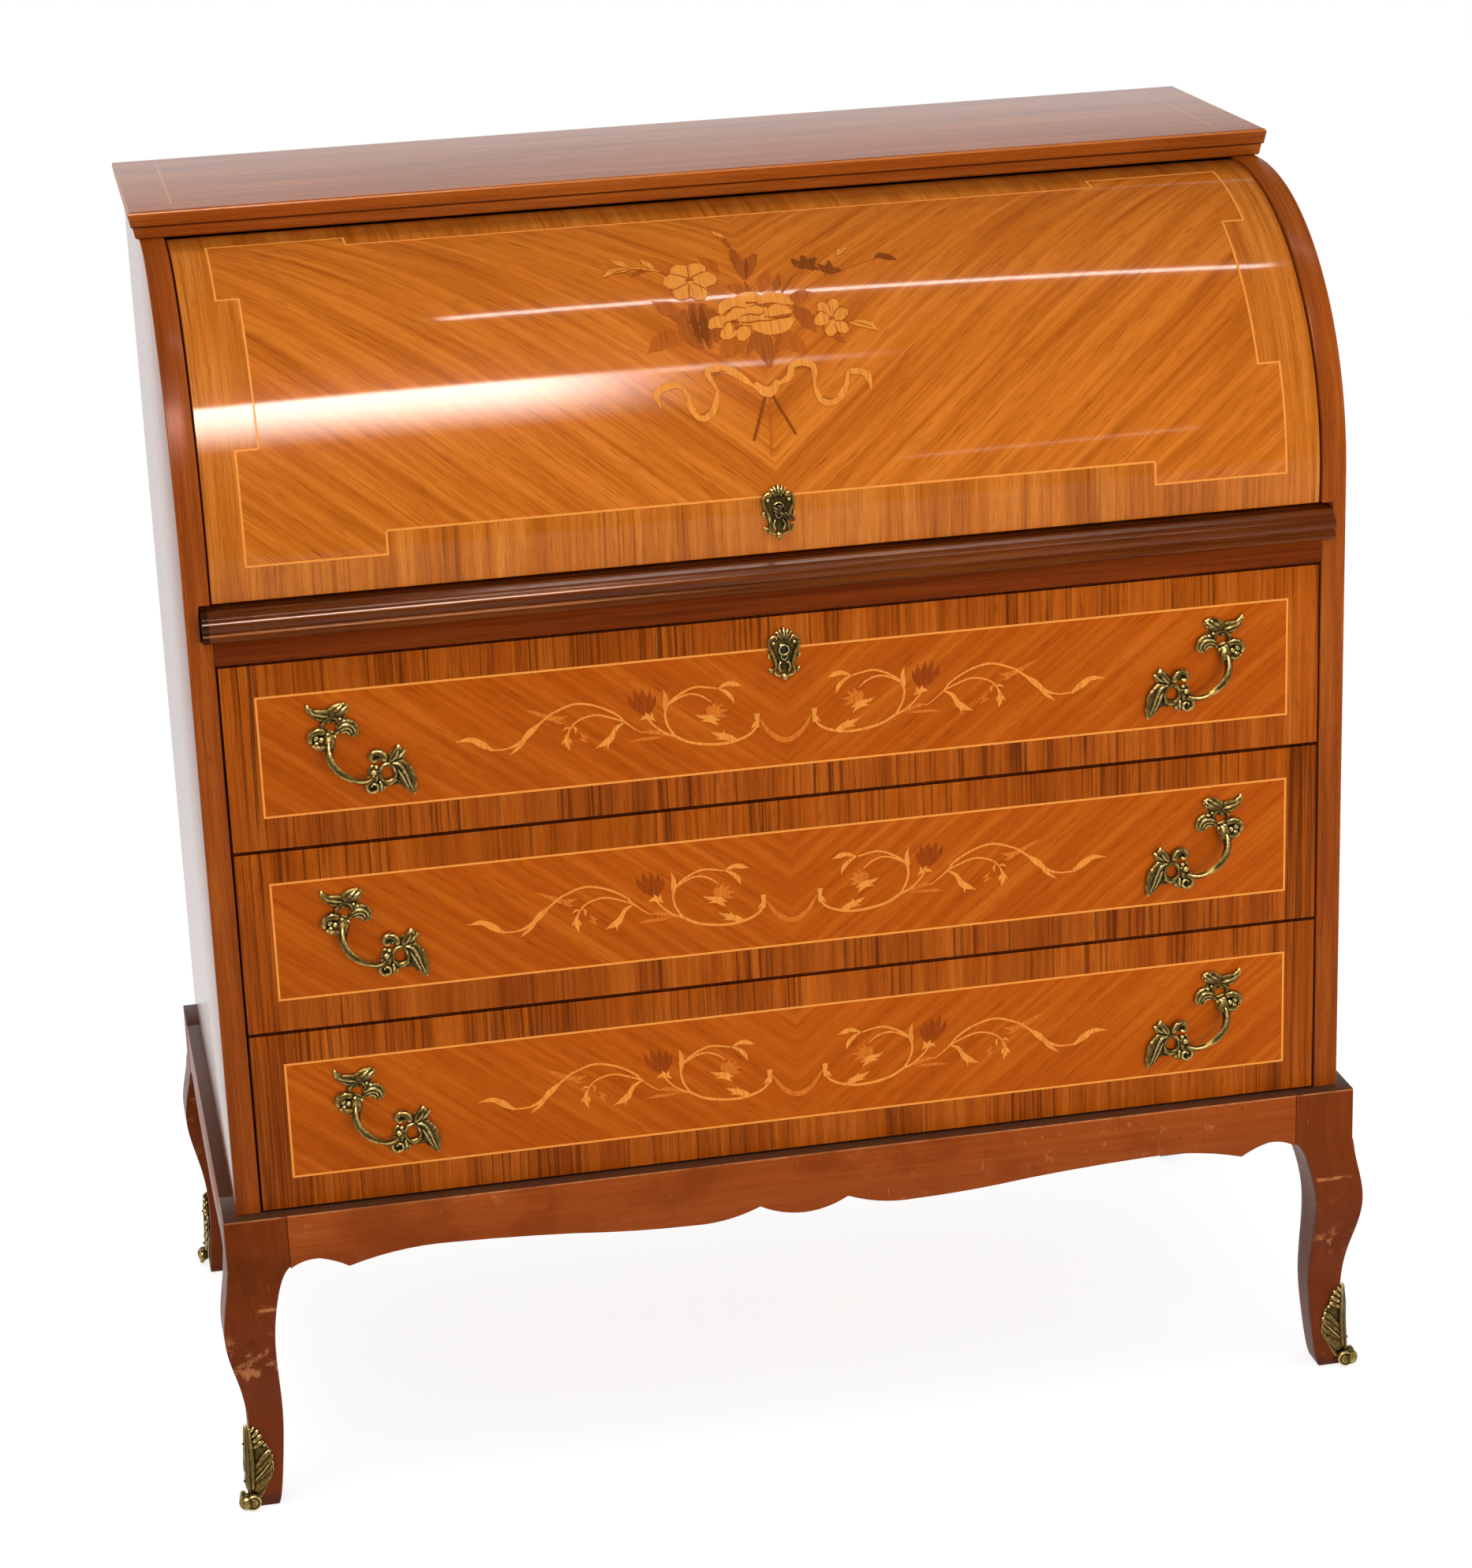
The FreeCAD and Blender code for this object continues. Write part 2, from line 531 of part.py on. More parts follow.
def nest():
    half = roll_half - s.end_thickness - s.nest_gap
    near = axis_y + s.nest_setback
    far = back_inside - s.nest_rear_gap
    wall_back = far - s.nest_back_thickness
    top_low = bed_top + s.nest_height - s.nest_board
    keep(box("pigeonhole_top", (-half, near, top_low), (half, far, top_low + s.nest_board)))
    keep(box("pigeonhole_back", (-half, wall_back, bed_top), (half, far, top_low)))
    outer_wall = box("upright_outer_right", (half - s.nest_board, near, bed_top), (half, wall_back, top_low))
    bay_start = s.centre_half + s.nest_board
    inner_wall = box("upright_inner_right", (s.centre_half, near, bed_top), (bay_start, wall_back, top_low))
    keep(group("pigeonhole_uprights", outer_wall, mirror("upright_outer_left", outer_wall), inner_wall,
               mirror("upright_inner_left", inner_wall)))
    shelf_low = bed_top + s.shelf_height
    shelf = box("shelf_right", (bay_start, near, shelf_low),
                (half - s.nest_board, wall_back, shelf_low + s.shelf_thickness))
    keep(group("pigeonhole_shelves", shelf, mirror("shelf_left", shelf)))
    inner_drawers(bay_start, half - s.nest_board, near, wall_back, shelf_low)


def inner_drawers(bay_start, bay_end, near, wall_back, shelf_low):
    low_x, high_x = bay_start + s.inner_gap, bay_end - s.inner_gap
    low_z, high_z = bed_top + s.run_gap, shelf_low - s.inner_gap
    tray_front, tray_rear = near + s.inner_front_thickness, wall_back - s.inner_rear_gap
    face = box("inner_drawer_right_front", (low_x, near, low_z), (high_x, tray_front, high_z))
    block = box("tray_block", (low_x, tray_front, low_z), (high_x, tray_rear, high_z - s.inner_wall))
    hollow = box("tray_hollow", (low_x + s.inner_wall, tray_front + s.inner_wall, low_z + s.inner_floor),
                 (high_x - s.inner_wall, tray_rear - s.inner_wall, high_z))
    tray = cut("inner_drawer_right_tray", block, hollow)
    centre_x, centre_z = (low_x + high_x) / 2, (low_z + high_z) / 2
    head_y = near - s.knob_reach + s.knob_swell
    neck = rod("knob_stem", s.knob_neck, near - head_y, (centre_x, head_y, centre_z), along_y)
    head = blob("knob_head", (s.knob_radius, s.knob_swell, s.knob_radius), (centre_x, head_y, centre_z))
    knob = fuse("inner_drawer_right_knob", neck, head)
    keep(face, tray, knob)
    for piece in (face, tray, knob):
        keep(mirror(piece.Label.replace("right", "left"), piece))


def handle():
    # one casting, drawn about its own middle: a bow on two posts, each beside a scroll with four leaves
    offset, radius = s.scroll_offset, s.bow_radius
    reach = (radius.value ** 2 - 2 * offset.value ** 2) ** 0.5 / 2 ** 0.5
    shift = Size(reach, f"(sqrt({radius.text}^2 - 2 * {offset.text}^2) / sqrt(2))")
    bow = doc.addObject("Part::Torus", "handle_bow")
    bind(bow, Radius1=radius, Radius2=s.bow_tube)
    bow.setExpression("Angle3", s.bow_span_angle.text)
    first = math.radians(225 - s.bow_span_angle.value / 2)
    across = FreeCAD.Vector(math.cos(first), 0, math.sin(first))
    along = FreeCAD.Vector(-math.sin(first), 0, math.cos(first))
    turn = FreeCAD.Rotation(across, along, FreeCAD.Vector(0, -1, 0), "ZXY")
    forms = [place(bow, shift, -s.bow_standoff, shift, turn)]
    ball = s.bow_tube * ball_share
    for sign in (-1, 1):
        angle = math.radians(225 + sign * s.bow_span_angle.value / 2)
        tip = (shift + radius * math.cos(angle), -s.bow_standoff, shift + radius * math.sin(angle))
        post_length = s.bow_standoff + s.overrun
        forms.append(rod(f"post_{sign + 1}", s.bow_tube * post_share, post_length, tip, along_y))
        forms.append(blob(f"post_ball_{sign + 1}", (ball, ball, ball), tip))
        scroll = doc.addObject("Part::Torus", f"scroll_{sign + 1}")
        bind(scroll, Radius1=s.scroll_radius, Radius2=s.scroll_tube)
        forms.append(place(scroll, offset * sign, zero, -(offset * sign), along_y))
    for number, (sign, direction, length_share, width_share) in enumerate(leaf_shares):
        angle = math.radians(direction)
        out = s.scroll_radius + s.leaf_length * (length_share * leaf_seat_share)
        middle = (offset * sign + out * math.cos(angle), zero, out * math.sin(angle) - offset * sign)
        turn = FreeCAD.Rotation(FreeCAD.Vector(0, 1, 0), 90 - direction)
        leaf_size = (s.leaf_width * width_share, s.leaf_rise, s.leaf_length * length_share)
        forms.append(blob(f"leaf_{number}", leaf_size, middle, turn))
    room = radius * 2
    before = box("handle_room", (-room, -(s.bow_standoff + s.overrun * 2), -room), (room, zero, room))
    casting = common("handle_casting", fuse("handle_forms", *forms), before)
    left = group("handle_left", casting)
    place(left, -(half_width - s.handle_inset), front, s.stand_height + s.drawer_gap + s.drawer_height / 2)
    return left, mirror("handle_right", left)


def drawers():
    pulls = handle()
    wall_in = inner - s.drawer_side_gap - s.drawer_side_thickness
    box_front = front + s.front_thickness
    for number, name in enumerate(("drawer_bottom", "drawer_middle", "drawer_top")):
        low = s.stand_height + s.drawer_gap + drawer_pitch * number
        wall_low = low + s.drawer_lift
        wall_top = low + s.drawer_height - s.drawer_headroom
        floor_low = wall_low + s.drawer_bottom_rise
        floor_top = floor_low + s.drawer_bottom_thickness
        rear = back_inside - s.drawer_rear_gap
        face_half = inner - s.drawer_gap
        keep(box(f"{name}_front", (-face_half, front, low), (face_half, box_front, low + s.drawer_height)))
        wall = box(f"{name}_wall", (wall_in, box_front, wall_low),
                   (wall_in + s.drawer_side_thickness, rear, wall_top))
        groove = box(f"{name}_groove", (wall_in - s.overrun, box_front - s.overrun, floor_low),
                     (wall_in + s.drawer_groove, rear + s.overrun, floor_top))
        side = cut(f"{name}_side_right", wall, groove)
        keep(group(f"{name}_sides", side, mirror(f"{name}_side_left", side)))
        keep(box(f"{name}_back", (-wall_in, rear - s.drawer_side_thickness, floor_top),
                 (wall_in, rear, wall_top - s.drawer_back_drop)))
        floor_half = wall_in + s.drawer_groove
        keep(box(f"{name}_floor", (-floor_half, box_front, floor_low), (floor_half, rear, floor_top)))
        handles = group(f"{name}_handles", *pulls)
        handles.setExpression("Placement.Base.z", text_of(drawer_pitch * number))
        keep(handles)
    # only the top drawer locks
    plate_low = low + s.drawer_height - s.drawer_plate_inset - s.plate_height
    blank = pad("drawer_plate_blank", "XZ_Plane", -front, plate_outline(plate_low), s.plate_thickness)
    eye = rod("drawer_plate_eye", s.bore_radius, s.plate_thickness + s.overrun * 2,
              (zero, front - s.plate_thickness - s.overrun, plate_low + s.plate_drop), along_y)
    keep(cut("drawer_escutcheon", blank, eye))
    lock_top = low + s.drawer_height - s.drawer_lock_inset
    keep(box("drawer_lock", (-s.lock_width / 2, box_front, lock_top - s.lock_height),
             (s.lock_width / 2, box_front + s.lock_thickness, lock_top)))


stand()
carcase()
top_board()
roll()
writing_slide()
nest()
drawers()
doc.recompute()

failed = [item.Label for item in doc.Objects if "Invalid" in item.State or "Error" in item.State]
failed += [piece.Label for piece in pieces if piece.Shape.isNull() or not piece.Shape.isValid()]
if failed:
    raise RuntimeError("these pieces failed: " + ", ".join(failed))

os.makedirs("parts", exist_ok=True)
for piece in pieces:
    piece.Shape.exportStep(f"parts/{piece.Label}.step")
print(f"{len(pieces)} pieces written")
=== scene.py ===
import json
import math

import bpy
from mathutils import Matrix, Vector


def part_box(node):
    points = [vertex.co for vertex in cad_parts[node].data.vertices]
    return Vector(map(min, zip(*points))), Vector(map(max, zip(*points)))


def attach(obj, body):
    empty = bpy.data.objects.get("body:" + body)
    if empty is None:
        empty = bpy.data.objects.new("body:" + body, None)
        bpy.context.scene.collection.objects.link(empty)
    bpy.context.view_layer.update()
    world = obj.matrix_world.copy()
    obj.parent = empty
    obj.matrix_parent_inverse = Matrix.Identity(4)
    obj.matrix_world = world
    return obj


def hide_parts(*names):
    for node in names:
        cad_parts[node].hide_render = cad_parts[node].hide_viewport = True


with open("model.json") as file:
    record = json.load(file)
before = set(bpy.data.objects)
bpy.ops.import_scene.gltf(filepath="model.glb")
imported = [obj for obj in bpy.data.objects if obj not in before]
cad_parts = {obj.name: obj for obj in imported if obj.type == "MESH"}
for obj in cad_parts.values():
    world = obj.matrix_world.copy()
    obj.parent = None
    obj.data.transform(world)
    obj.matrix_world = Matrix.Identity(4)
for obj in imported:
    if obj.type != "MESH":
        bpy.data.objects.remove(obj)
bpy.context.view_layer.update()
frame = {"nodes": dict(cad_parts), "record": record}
nodes = frame["nodes"]
bodyOf = {node: body for body, members in frame["record"]["behaviour"]["bodies"].items() for node in members}
print("frame loaded,", len(nodes), "nodes")

# places that several pieces share, all read from the solids
sideLow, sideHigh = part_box("side_right")
shellLow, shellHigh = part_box("cylinder_shell")
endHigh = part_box("cylinder_end_right")[1]
pinLow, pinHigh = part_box("pivot_pins")
frontY = sideLow.y
axisY, axisZ = (pinLow.y + pinHigh.y) / 2, (pinLow.z + pinHigh.z) / 2
rollRadius = axisY - shellLow.y
rollHalf = shellHigh.x
drawers = ("drawer_bottom", "drawer_middle", "drawer_top")


# small helpers

def pick(*pieces):
    if bpy.context.mode != "OBJECT":
        bpy.ops.object.mode_set(mode="OBJECT")
    bpy.ops.object.select_all(action="DESELECT")
    for piece in pieces:
        piece.select_set(True)
    if pieces:
        bpy.context.view_layer.objects.active = pieces[0]


def copied(name, mesh):
    piece = bpy.data.objects.new(name, mesh.copy())
    bpy.context.collection.objects.link(piece)
    return piece


def mirrorMesh(piece, axis, shift=(0, 0, 0)):
    piece.data.transform(Matrix.Translation(shift) @ Matrix.Scale(-1, 4, axis))
    piece.data.flip_normals()


def addModifier(piece, kind, **settings):
    pick(piece)
    modifier = piece.modifiers.new(kind.lower(), kind)
    for key, value in settings.items():
        setattr(modifier, key, value)
    bpy.ops.object.modifier_apply(modifier=modifier.name)


def cleanMesh(piece, merge=0.00001, flatAngle=0.0, recalc=True):
    pick(piece)
    bpy.ops.object.mode_set(mode="EDIT")
    bpy.ops.mesh.select_all(action="SELECT")
    bpy.ops.mesh.remove_doubles(threshold=merge)
    if flatAngle:
        bpy.ops.mesh.dissolve_limited(angle_limit=math.radians(flatAngle))
    if recalc:
        bpy.ops.mesh.normals_make_consistent(inside=False)
    bpy.ops.object.mode_set(mode="OBJECT")


def smoothed(piece, angle=35):
    pick(piece)
    bpy.ops.object.shade_smooth_by_angle(angle=math.radians(angle))


def finished(piece, name, body, finish, replaced=()):
    piece.name = name
    piece.data.name = name
    piece.data.materials.clear()
    piece.data.materials.append(finish)
    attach(piece, body)
    if replaced:
        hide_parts(*replaced)
    return piece


def eased(piece, width, angle):
    # edges sharper than the angle are rubbed round
    addModifier(piece, "BEVEL", width=width, segments=2, limit_method="ANGLE",
                angle_limit=math.radians(angle))


def softened(node, name, finish, width, flatAngle=0.5, edgeAngle=30):
    # a copy of a solid with its edges eased
    piece = copied(name, nodes[node].data)
    pick(piece)
    if piece.data.has_custom_normals:
        bpy.ops.mesh.customdata_custom_splitnormals_clear()
    cleanMesh(piece, flatAngle=flatAngle, recalc=False)
    eased(piece, width, edgeAngle)
    smoothed(piece)
    return finished(piece, name, bodyOf[node], finish, [node])


def smoothPath(points, count, cuts=12):
    # an even walk along a soft curve through the points, each stretch of it cut fine first
    points = [Vector(p) for p in points]
    padded = [points[0] * 2 - points[1]] + points + [points[-1] * 2 - points[-2]]
    fine = []
    for i in range(1, len(padded) - 2):
        a, b, c, d = padded[i - 1:i + 3]
        for step in range(cuts):
            t = step / cuts
            fine.append(0.5 * (2 * b + (c - a) * t + (2 * a - 5 * b + 4 * c - d) * t ** 2
                               + (3 * b - a - 3 * c + d) * t ** 3))
    fine.append(points[-1])
    lengths = [0.0]
    for first, second in zip(fine, fine[1:]):
        lengths.append(lengths[-1] + (second - first).length)
    walk, at = [], 0
    for step in range(count + 1):
        goal = lengths[-1] * step / count
        while at < len(fine) - 2 and lengths[at + 1] < goal:
            at += 1
        span = lengths[at + 1] - lengths[at]
        walk.append(fine[at].lerp(fine[at + 1], (goal - lengths[at]) / span if span else 0.0))
    return walk


def alongList(values, share):
    # a soft reading of a list of values, 0 at its start and 1 at its end
    place = share * (len(values) - 1)
    at = min(int(place), len(values) - 2)
    t = place - at
    t = t * t * (3 - 2 * t)
    return values[at] * (1 - t) + values[at + 1] * t


def sheetsToMesh(name, sheets):
    # one flat grid for each sheet, all in one mesh; then every point is put in its place,
    # because leaves and strings follow curves that no operator draws
    pick()
    for number, rows in enumerate(sheets):
        bpy.ops.mesh.primitive_grid_add(x_subdivisions=len(rows[0]) - 1, y_subdivisions=len(rows) - 1,
                                        size=0.01)
        if number == 0:
            piece = bpy.context.object
            bpy.ops.object.mode_set(mode="EDIT")
    bpy.ops.object.mode_set(mode="OBJECT")
    piece.name = name
    piece.location = (0, 0, 0)
    flat = [number for rows in sheets for row in rows for point in row for number in point]
    piece.data.vertices.foreach_set("co", flat)
    piece.data.update()
    return piece


# finishes

def tint(red, green, blue):
    # a colour as it is seen, turned to the linear light that shaders mix
    shares = (red / 255, green / 255, blue / 255)
    linear = [c / 12.92 if c <= 0.04045 else ((c + 0.055) / 1.055) ** 2.4 for c in shares]
    return (*linear, 1.0)


class Wire:
    # a socket of a shader tree; sums on it add Math nodes

    def __init__(self, tree, socket=None):
        self.tree = tree
        self.socket = socket

    def node(self, kind, settings=None, sockets=None, out=0):
        made = self.tree.nodes.new("ShaderNode" + kind)
        for key, value in (settings or {}).items():
            if key == "stops":
                ramp = made.color_ramp
                for extra in range(len(value) - 2):
                    ramp.elements.new(0.5)
                for element, (position, colour) in zip(ramp.elements, value):
                    element.position = position
                    element.color = colour
            else:
                setattr(made, key, value)
        for key, value in (sockets or {}).items():
            if isinstance(value, Wire):
                self.tree.links.new(value.socket, made.inputs[key])
            else:
                made.inputs[key].default_value = value
        return Wire(self.tree, made.outputs[out]) if made.outputs else None

    def sum(self, operation, *values):
        return self.node("Math", {"operation": operation}, dict(enumerate(values)))

    def __add__(self, other):
        return self.sum("ADD", self, other)

    __radd__ = __add__

    def __sub__(self, other):
        return self.sum("SUBTRACT", self, other)

    def __rsub__(self, other):
        return self.sum("SUBTRACT", other, self)

    def __mul__(self, other):
        return self.sum("MULTIPLY", self, other)

    def __truediv__(self, other):
        return self.sum("DIVIDE", self, other)

    def __abs__(self):
        return self.sum("ABSOLUTE", self)

    def floor(self):
        return self.sum("FLOOR", self)

    def most(self, other):
        return self.sum("MAXIMUM", self, other)

    def over(self, limit):
        return self.sum("GREATER_THAN", self, limit)

    def between(self, low, high):
        # 0 below low, 1 above high, soft between
        return self.node("MapRange", {"interpolation_type": "SMOOTHSTEP"},
                         {"Value": self, "From Min": low, "From Max": high})

    def cloud(self, point, scale, detail, roughness=0.5):
        return self.node("TexNoise", {}, {"Vector": point, "Scale": scale, "Detail": detail,
                                          "Roughness": roughness})

    def noise(self, a, b, seed=0.0, detail=2.0, roughness=0.5):
        point = self.node("CombineXYZ", {}, {0: a, 1: b, 2: seed})
        return self.cloud(point, 1.0, detail, roughness)

    def random(self, value, seed=0.0):
        point = self.node("CombineXYZ", {}, {0: value, 1: seed, 2: 0.0})
        return self.node("TexWhiteNoise", {"noise_dimensions": "3D"}, {"Vector": point}, "Value")

    def ramp(self, *stops):
        return self.node("ValToRGB", {"stops": stops}, {"Fac": self})

    def mix(self, share, first, second):
        # colours, by a share of the second
        return self.node("Mix", {"data_type": "RGBA"}, {0: share, 6: first, 7: second}, 2)

    def place(self):
        point = self.node("TexCoord", {}, {}, "Object")
        split = point.node("SeparateXYZ", {}, {0: point})
        tree, outs = self.tree, split.socket.node.outputs
        return point, Wire(tree, outs[0]), Wire(tree, outs[1]), Wire(tree, outs[2])


def newFinish(name):
    finish = bpy.data.materials.new(name)
    finish.use_nodes = True
    finish.node_tree.nodes.clear()
    return finish, Wire(finish.node_tree)


def coated(shader, sockets, height=None, depth=0.0001):
    if height is not None:
        sockets = dict(sockets)
        sockets["Normal"] = shader.node("Bump", {}, {"Strength": 1.0, "Distance": depth, "Height": height})
    body = shader.node("BsdfPrincipled", {}, sockets)
    shader.node("OutputMaterial", {}, {"Surface": body})


# polish of the fronts, sides, roll, stand and nosing; plain wood has none
warmSheen = tint(255, 190, 130)
frontPolish = {"Specular IOR Level": 0.02, "Coat Weight": 0.04, "Coat Roughness": 0.08, "Coat IOR": 1.5}
sidePolish = {"Specular IOR Level": 0.02, "Coat Weight": 0.04, "Coat Roughness": 0.22, "Coat IOR": 1.72}
rollPolish = {"Specular IOR Level": 0.02, "Coat Weight": 0.32, "Coat Roughness": 0.075, "Coat IOR": 1.5}
standPolish = {"Specular IOR Level": 0.07, "Specular Tint": warmSheen, "Coat Weight": 0.015,
               "Coat Roughness": 0.2, "Coat IOR": 1.5}
nosingPolish = {"Specular IOR Level": 0.12, "Specular Tint": warmSheen, "Coat Weight": 0.02,
                "Coat Roughness": 0.17, "Coat IOR": 1.5}
noPolish = {"Specular IOR Level": 0.25}

# how grain is drawn: sway, swing, streaks and patches in metres, the rest as multiples of the fibre's,
# figure's or ribbon's width; slant turns the figure so that every face shows it
grain = {
    "sway": (0.05, 0.16), "swing": 0.004, "fibreLength": 70, "figureLength": 14, "lineWidth": 0.22,
    "lineLength": 9, "ribbonLength": 30, "poreWidth": 0.55, "poreLength": 16, "streak": (0.0032, 0.3),
    "patch": (0.05, 0.6), "slant": 0.73,
}


def woodTone(shader, across, along, tones, seed, fibre=0.0009, figure=0.022, poreShare=0.5, figureDepth=0.8,
             ribbon=0.0, ribbonWidth=0.0048, streaks=0.0, threadDepth=0.6, lineDepth=0.55):
    # fine fibres, a broader figure, ribbon stripes, dark streaks and short pores,
    # by metres across and along the grain
    swayWidth, swayLength = grain["sway"]
    sway = shader.noise(across / swayWidth, along / swayLength, seed + 2.2, 2.0) - 0.5
    swayed = across + sway * (ribbonWidth if ribbon else grain["swing"])

    def drawn(width, length, offset, detail, roughness):
        return shader.noise(swayed / width, along / length, seed + offset, detail, roughness)

    threads = drawn(fibre, fibre * grain["fibreLength"], 0.0, 3.0, 0.6)
    broad = drawn(figure, figure * grain["figureLength"], 5.3, 2.0, 0.55)
    lines = drawn(figure * grain["lineWidth"], figure * grain["lineLength"], 9.1, 2.0, 0.5)
    tone = 0.5 + (threads - 0.5) * threadDepth + (broad - 0.5) * figureDepth + (lines - 0.5) * lineDepth
    if ribbon:
        gaps = drawn(ribbonWidth, ribbonWidth * grain["ribbonLength"], 21.0, 1.0, 0.4)
        tone = tone + (gaps.between(0.28, 0.72) - 0.5) * ribbon
    colour = tone.ramp((0.18, tones[0]), (0.5, tones[1]), (0.82, tones[2]))
    dashes = drawn(fibre * grain["poreWidth"], fibre * grain["poreLength"], 17.7, 1.0, 0.5)
    pores = dashes.between(0.58, 0.74) * poreShare
    if streaks:
        thick = drawn(*grain["streak"], 27.0, 3.0, 0.65)
        patch = drawn(*grain["patch"], 33.0, 2.0, 0.5)
        dark = (thick + (patch - 0.5) * 0.5).between(0.5, 0.7) * streaks
        colour = shader.mix(dark, colour, tones[3])
    colour = shader.mix(pores, colour, tones[3])
    return colour, threads - pores


drawerTones = {
    "panel": (tint(150, 62, 7), tint(172, 79, 10), tint(192, 100, 24), tint(106, 43, 5)),
    "band": (tint(118, 50, 7), tint(160, 75, 13), tint(188, 100, 29), tint(78, 31, 4)),
    "rim": tint(46, 16, 2), "streaks": 0.85, "sheets": 0.6, "rough": 0.3, "slope": 38.0,
    "grain": {"fibre": 0.0011, "figure": 0.02, "poreShare": 0.55, "figureDepth": 0.4, "ribbon": 0.24,
              "ribbonWidth": 0.0065, "threadDepth": 0.32, "lineDepth": 0.34},
}

rollTones = {
    "panel": (tint(154, 72, 11), tint(191, 102, 25), tint(214, 126, 43), tint(114, 53, 8)),
    "band": (tint(144, 69, 11), tint(188, 103, 27), tint(214, 131, 50), tint(112, 51, 8)),
    "rim": tint(96, 42, 6), "streaks": 0.5, "sheets": 0.2, "rough": 0.34, "slope": 40.0,
    "grain": {"fibre": 0.0014, "figure": 0.014, "poreShare": 0.55, "figureDepth": 0.3, "ribbon": 0.24,
              "ribbonWidth": 0.008, "threadDepth": 0.55, "lineDepth": 0.36},
}

# crossbanding: short sheets of veneer side by side round a panel, and the width of a painted shade along the
# edges where a front meets its gaps; in metres
banding = {"inset": 0.027, "rim": 0.0008, "face": 0.0012, "sheet": 0.047, "driftWidth": 0.2, "drift": 3,
           "shift": 0.3, "worn": 0.05}


def panelled(name, tones, polish, coordinates, inside, seed):
    # crossbanded border round a mirrored panel whose grain falls to the middle, with painted shade along its
    # edges
    finish, shader = newFinish(name)
    across, up = coordinates(shader)
    half = abs(across)
    slope = math.radians(tones["slope"])
    c, s = math.cos(slope), math.sin(slope)
    panel, panelHeight = woodTone(shader, up * c - half * s, half * c + up * s, tones["panel"], seed,
                                  **tones["grain"])
    drift = shader.noise(across / banding["driftWidth"], seed, 3.0) * banding["drift"]
    shade = shader.random((across / banding["sheet"] + drift).floor(), seed)
    band, bandHeight = woodTone(shader, across, up + shade * banding["shift"], tones["band"], seed + 31.0,
                                streaks=tones["streaks"])
    band = shader.mix((shade - 0.5).most(0.0) * tones["sheets"], band, tones["band"][0])
    mask, rim = inside(shader, across, up)
    # the rim tone is painted shade, darkening the face where the gaps round it are shaded
    colour = shader.mix(rim, shader.mix(mask, band, panel), tones["rim"])
    worn = shader.noise(across / banding["worn"], up / banding["worn"], seed + 3.0, 3.0)
    roughness = tones["rough"] + (worn - 0.5) * 0.14
    height = panelHeight * mask + bandHeight * (1 - mask)
    coated(shader, {"Base Color": colour, "Roughness": roughness, **polish}, height, depth=0.00002)
    return finish


def drawerVeneer(node, seed):
    low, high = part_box(node)
    middle, inset = (low.z + high.z) / 2, banding["inset"]

    def coordinates(shader):
        point, x, y, z = shader.place()
        return x, z - middle

    def inside(shader, x, up):
        # the second mask is painted shade: the face darkened within the rim's width of its edges, beside the
        # shaded gaps
        reach = (abs(x) - (high.x - inset)).most(abs(up) - ((high.z - low.z) / 2 - inset))
        behind = shader.place()[2].over(frontY + banding["face"])
        return 1 - reach.over(0.0), reach.over(inset - banding["rim"]) * (1 - behind)

    return panelled("veneer_" + node, drawerTones, frontPolish, coordinates, inside, seed)


# the roll's eared panel: half widths in metres, angles in degrees above the axis;
# shade is how far the painted shadow of the top's overhang comes down
earedPanel = {"half": 0.393, "low": 6.0, "high": 77.8, "earIn": 0.303, "earOut": 0.4106,
              "earLow": (1.1, 24.6), "earHigh": (60.2, 81.8), "shade": 7}


def arc(degrees):
    # a length round the curve of the roll
    return math.radians(degrees) * rollRadius


def rollVeneer(seed):
    p = earedPanel

    def coordinates(shader):
        point, x, y, z = shader.place()
        angle = shader.sum("ARCTAN2", z - axisZ, axisY - y)
        return x, angle * rollRadius

    def boxed(half, up, xLow, xHigh, low, high):
        return half.over(xLow) * (1 - half.over(xHigh)) * up.over(arc(low)) * (1 - up.over(arc(high)))

    def inside(shader, x, up):
        half = abs(x)
        middle = boxed(half, up, -1.0, p["half"], p["low"], p["high"])
        ears = boxed(half, up, p["earIn"], p["earOut"], *p["earLow"])
        ears = ears.most(boxed(half, up, p["earIn"], p["earOut"], *p["earHigh"]))
        # painted shadow of the top's overhang along the roll's upper edge, added at half strength to the
        # painted shade at the roll's ends
        paintedTopShadow = up.between(arc(p["high"]), arc(p["high"] + p["shade"]))
        return middle.most(ears), half.over(rollHalf - banding["rim"]).most(paintedTopShadow * 0.5)

    return panelled("veneer_roll", rollTones, rollPolish, coordinates, inside, seed)


def grainAlong(axis, x, y, z):
    # places across and along a grain that runs with this axis
    first, second, along = {"x": (y, z, x), "y": (x, z, y), "z": (x, y, z)}[axis]
    return first * grain["slant"] + second, along


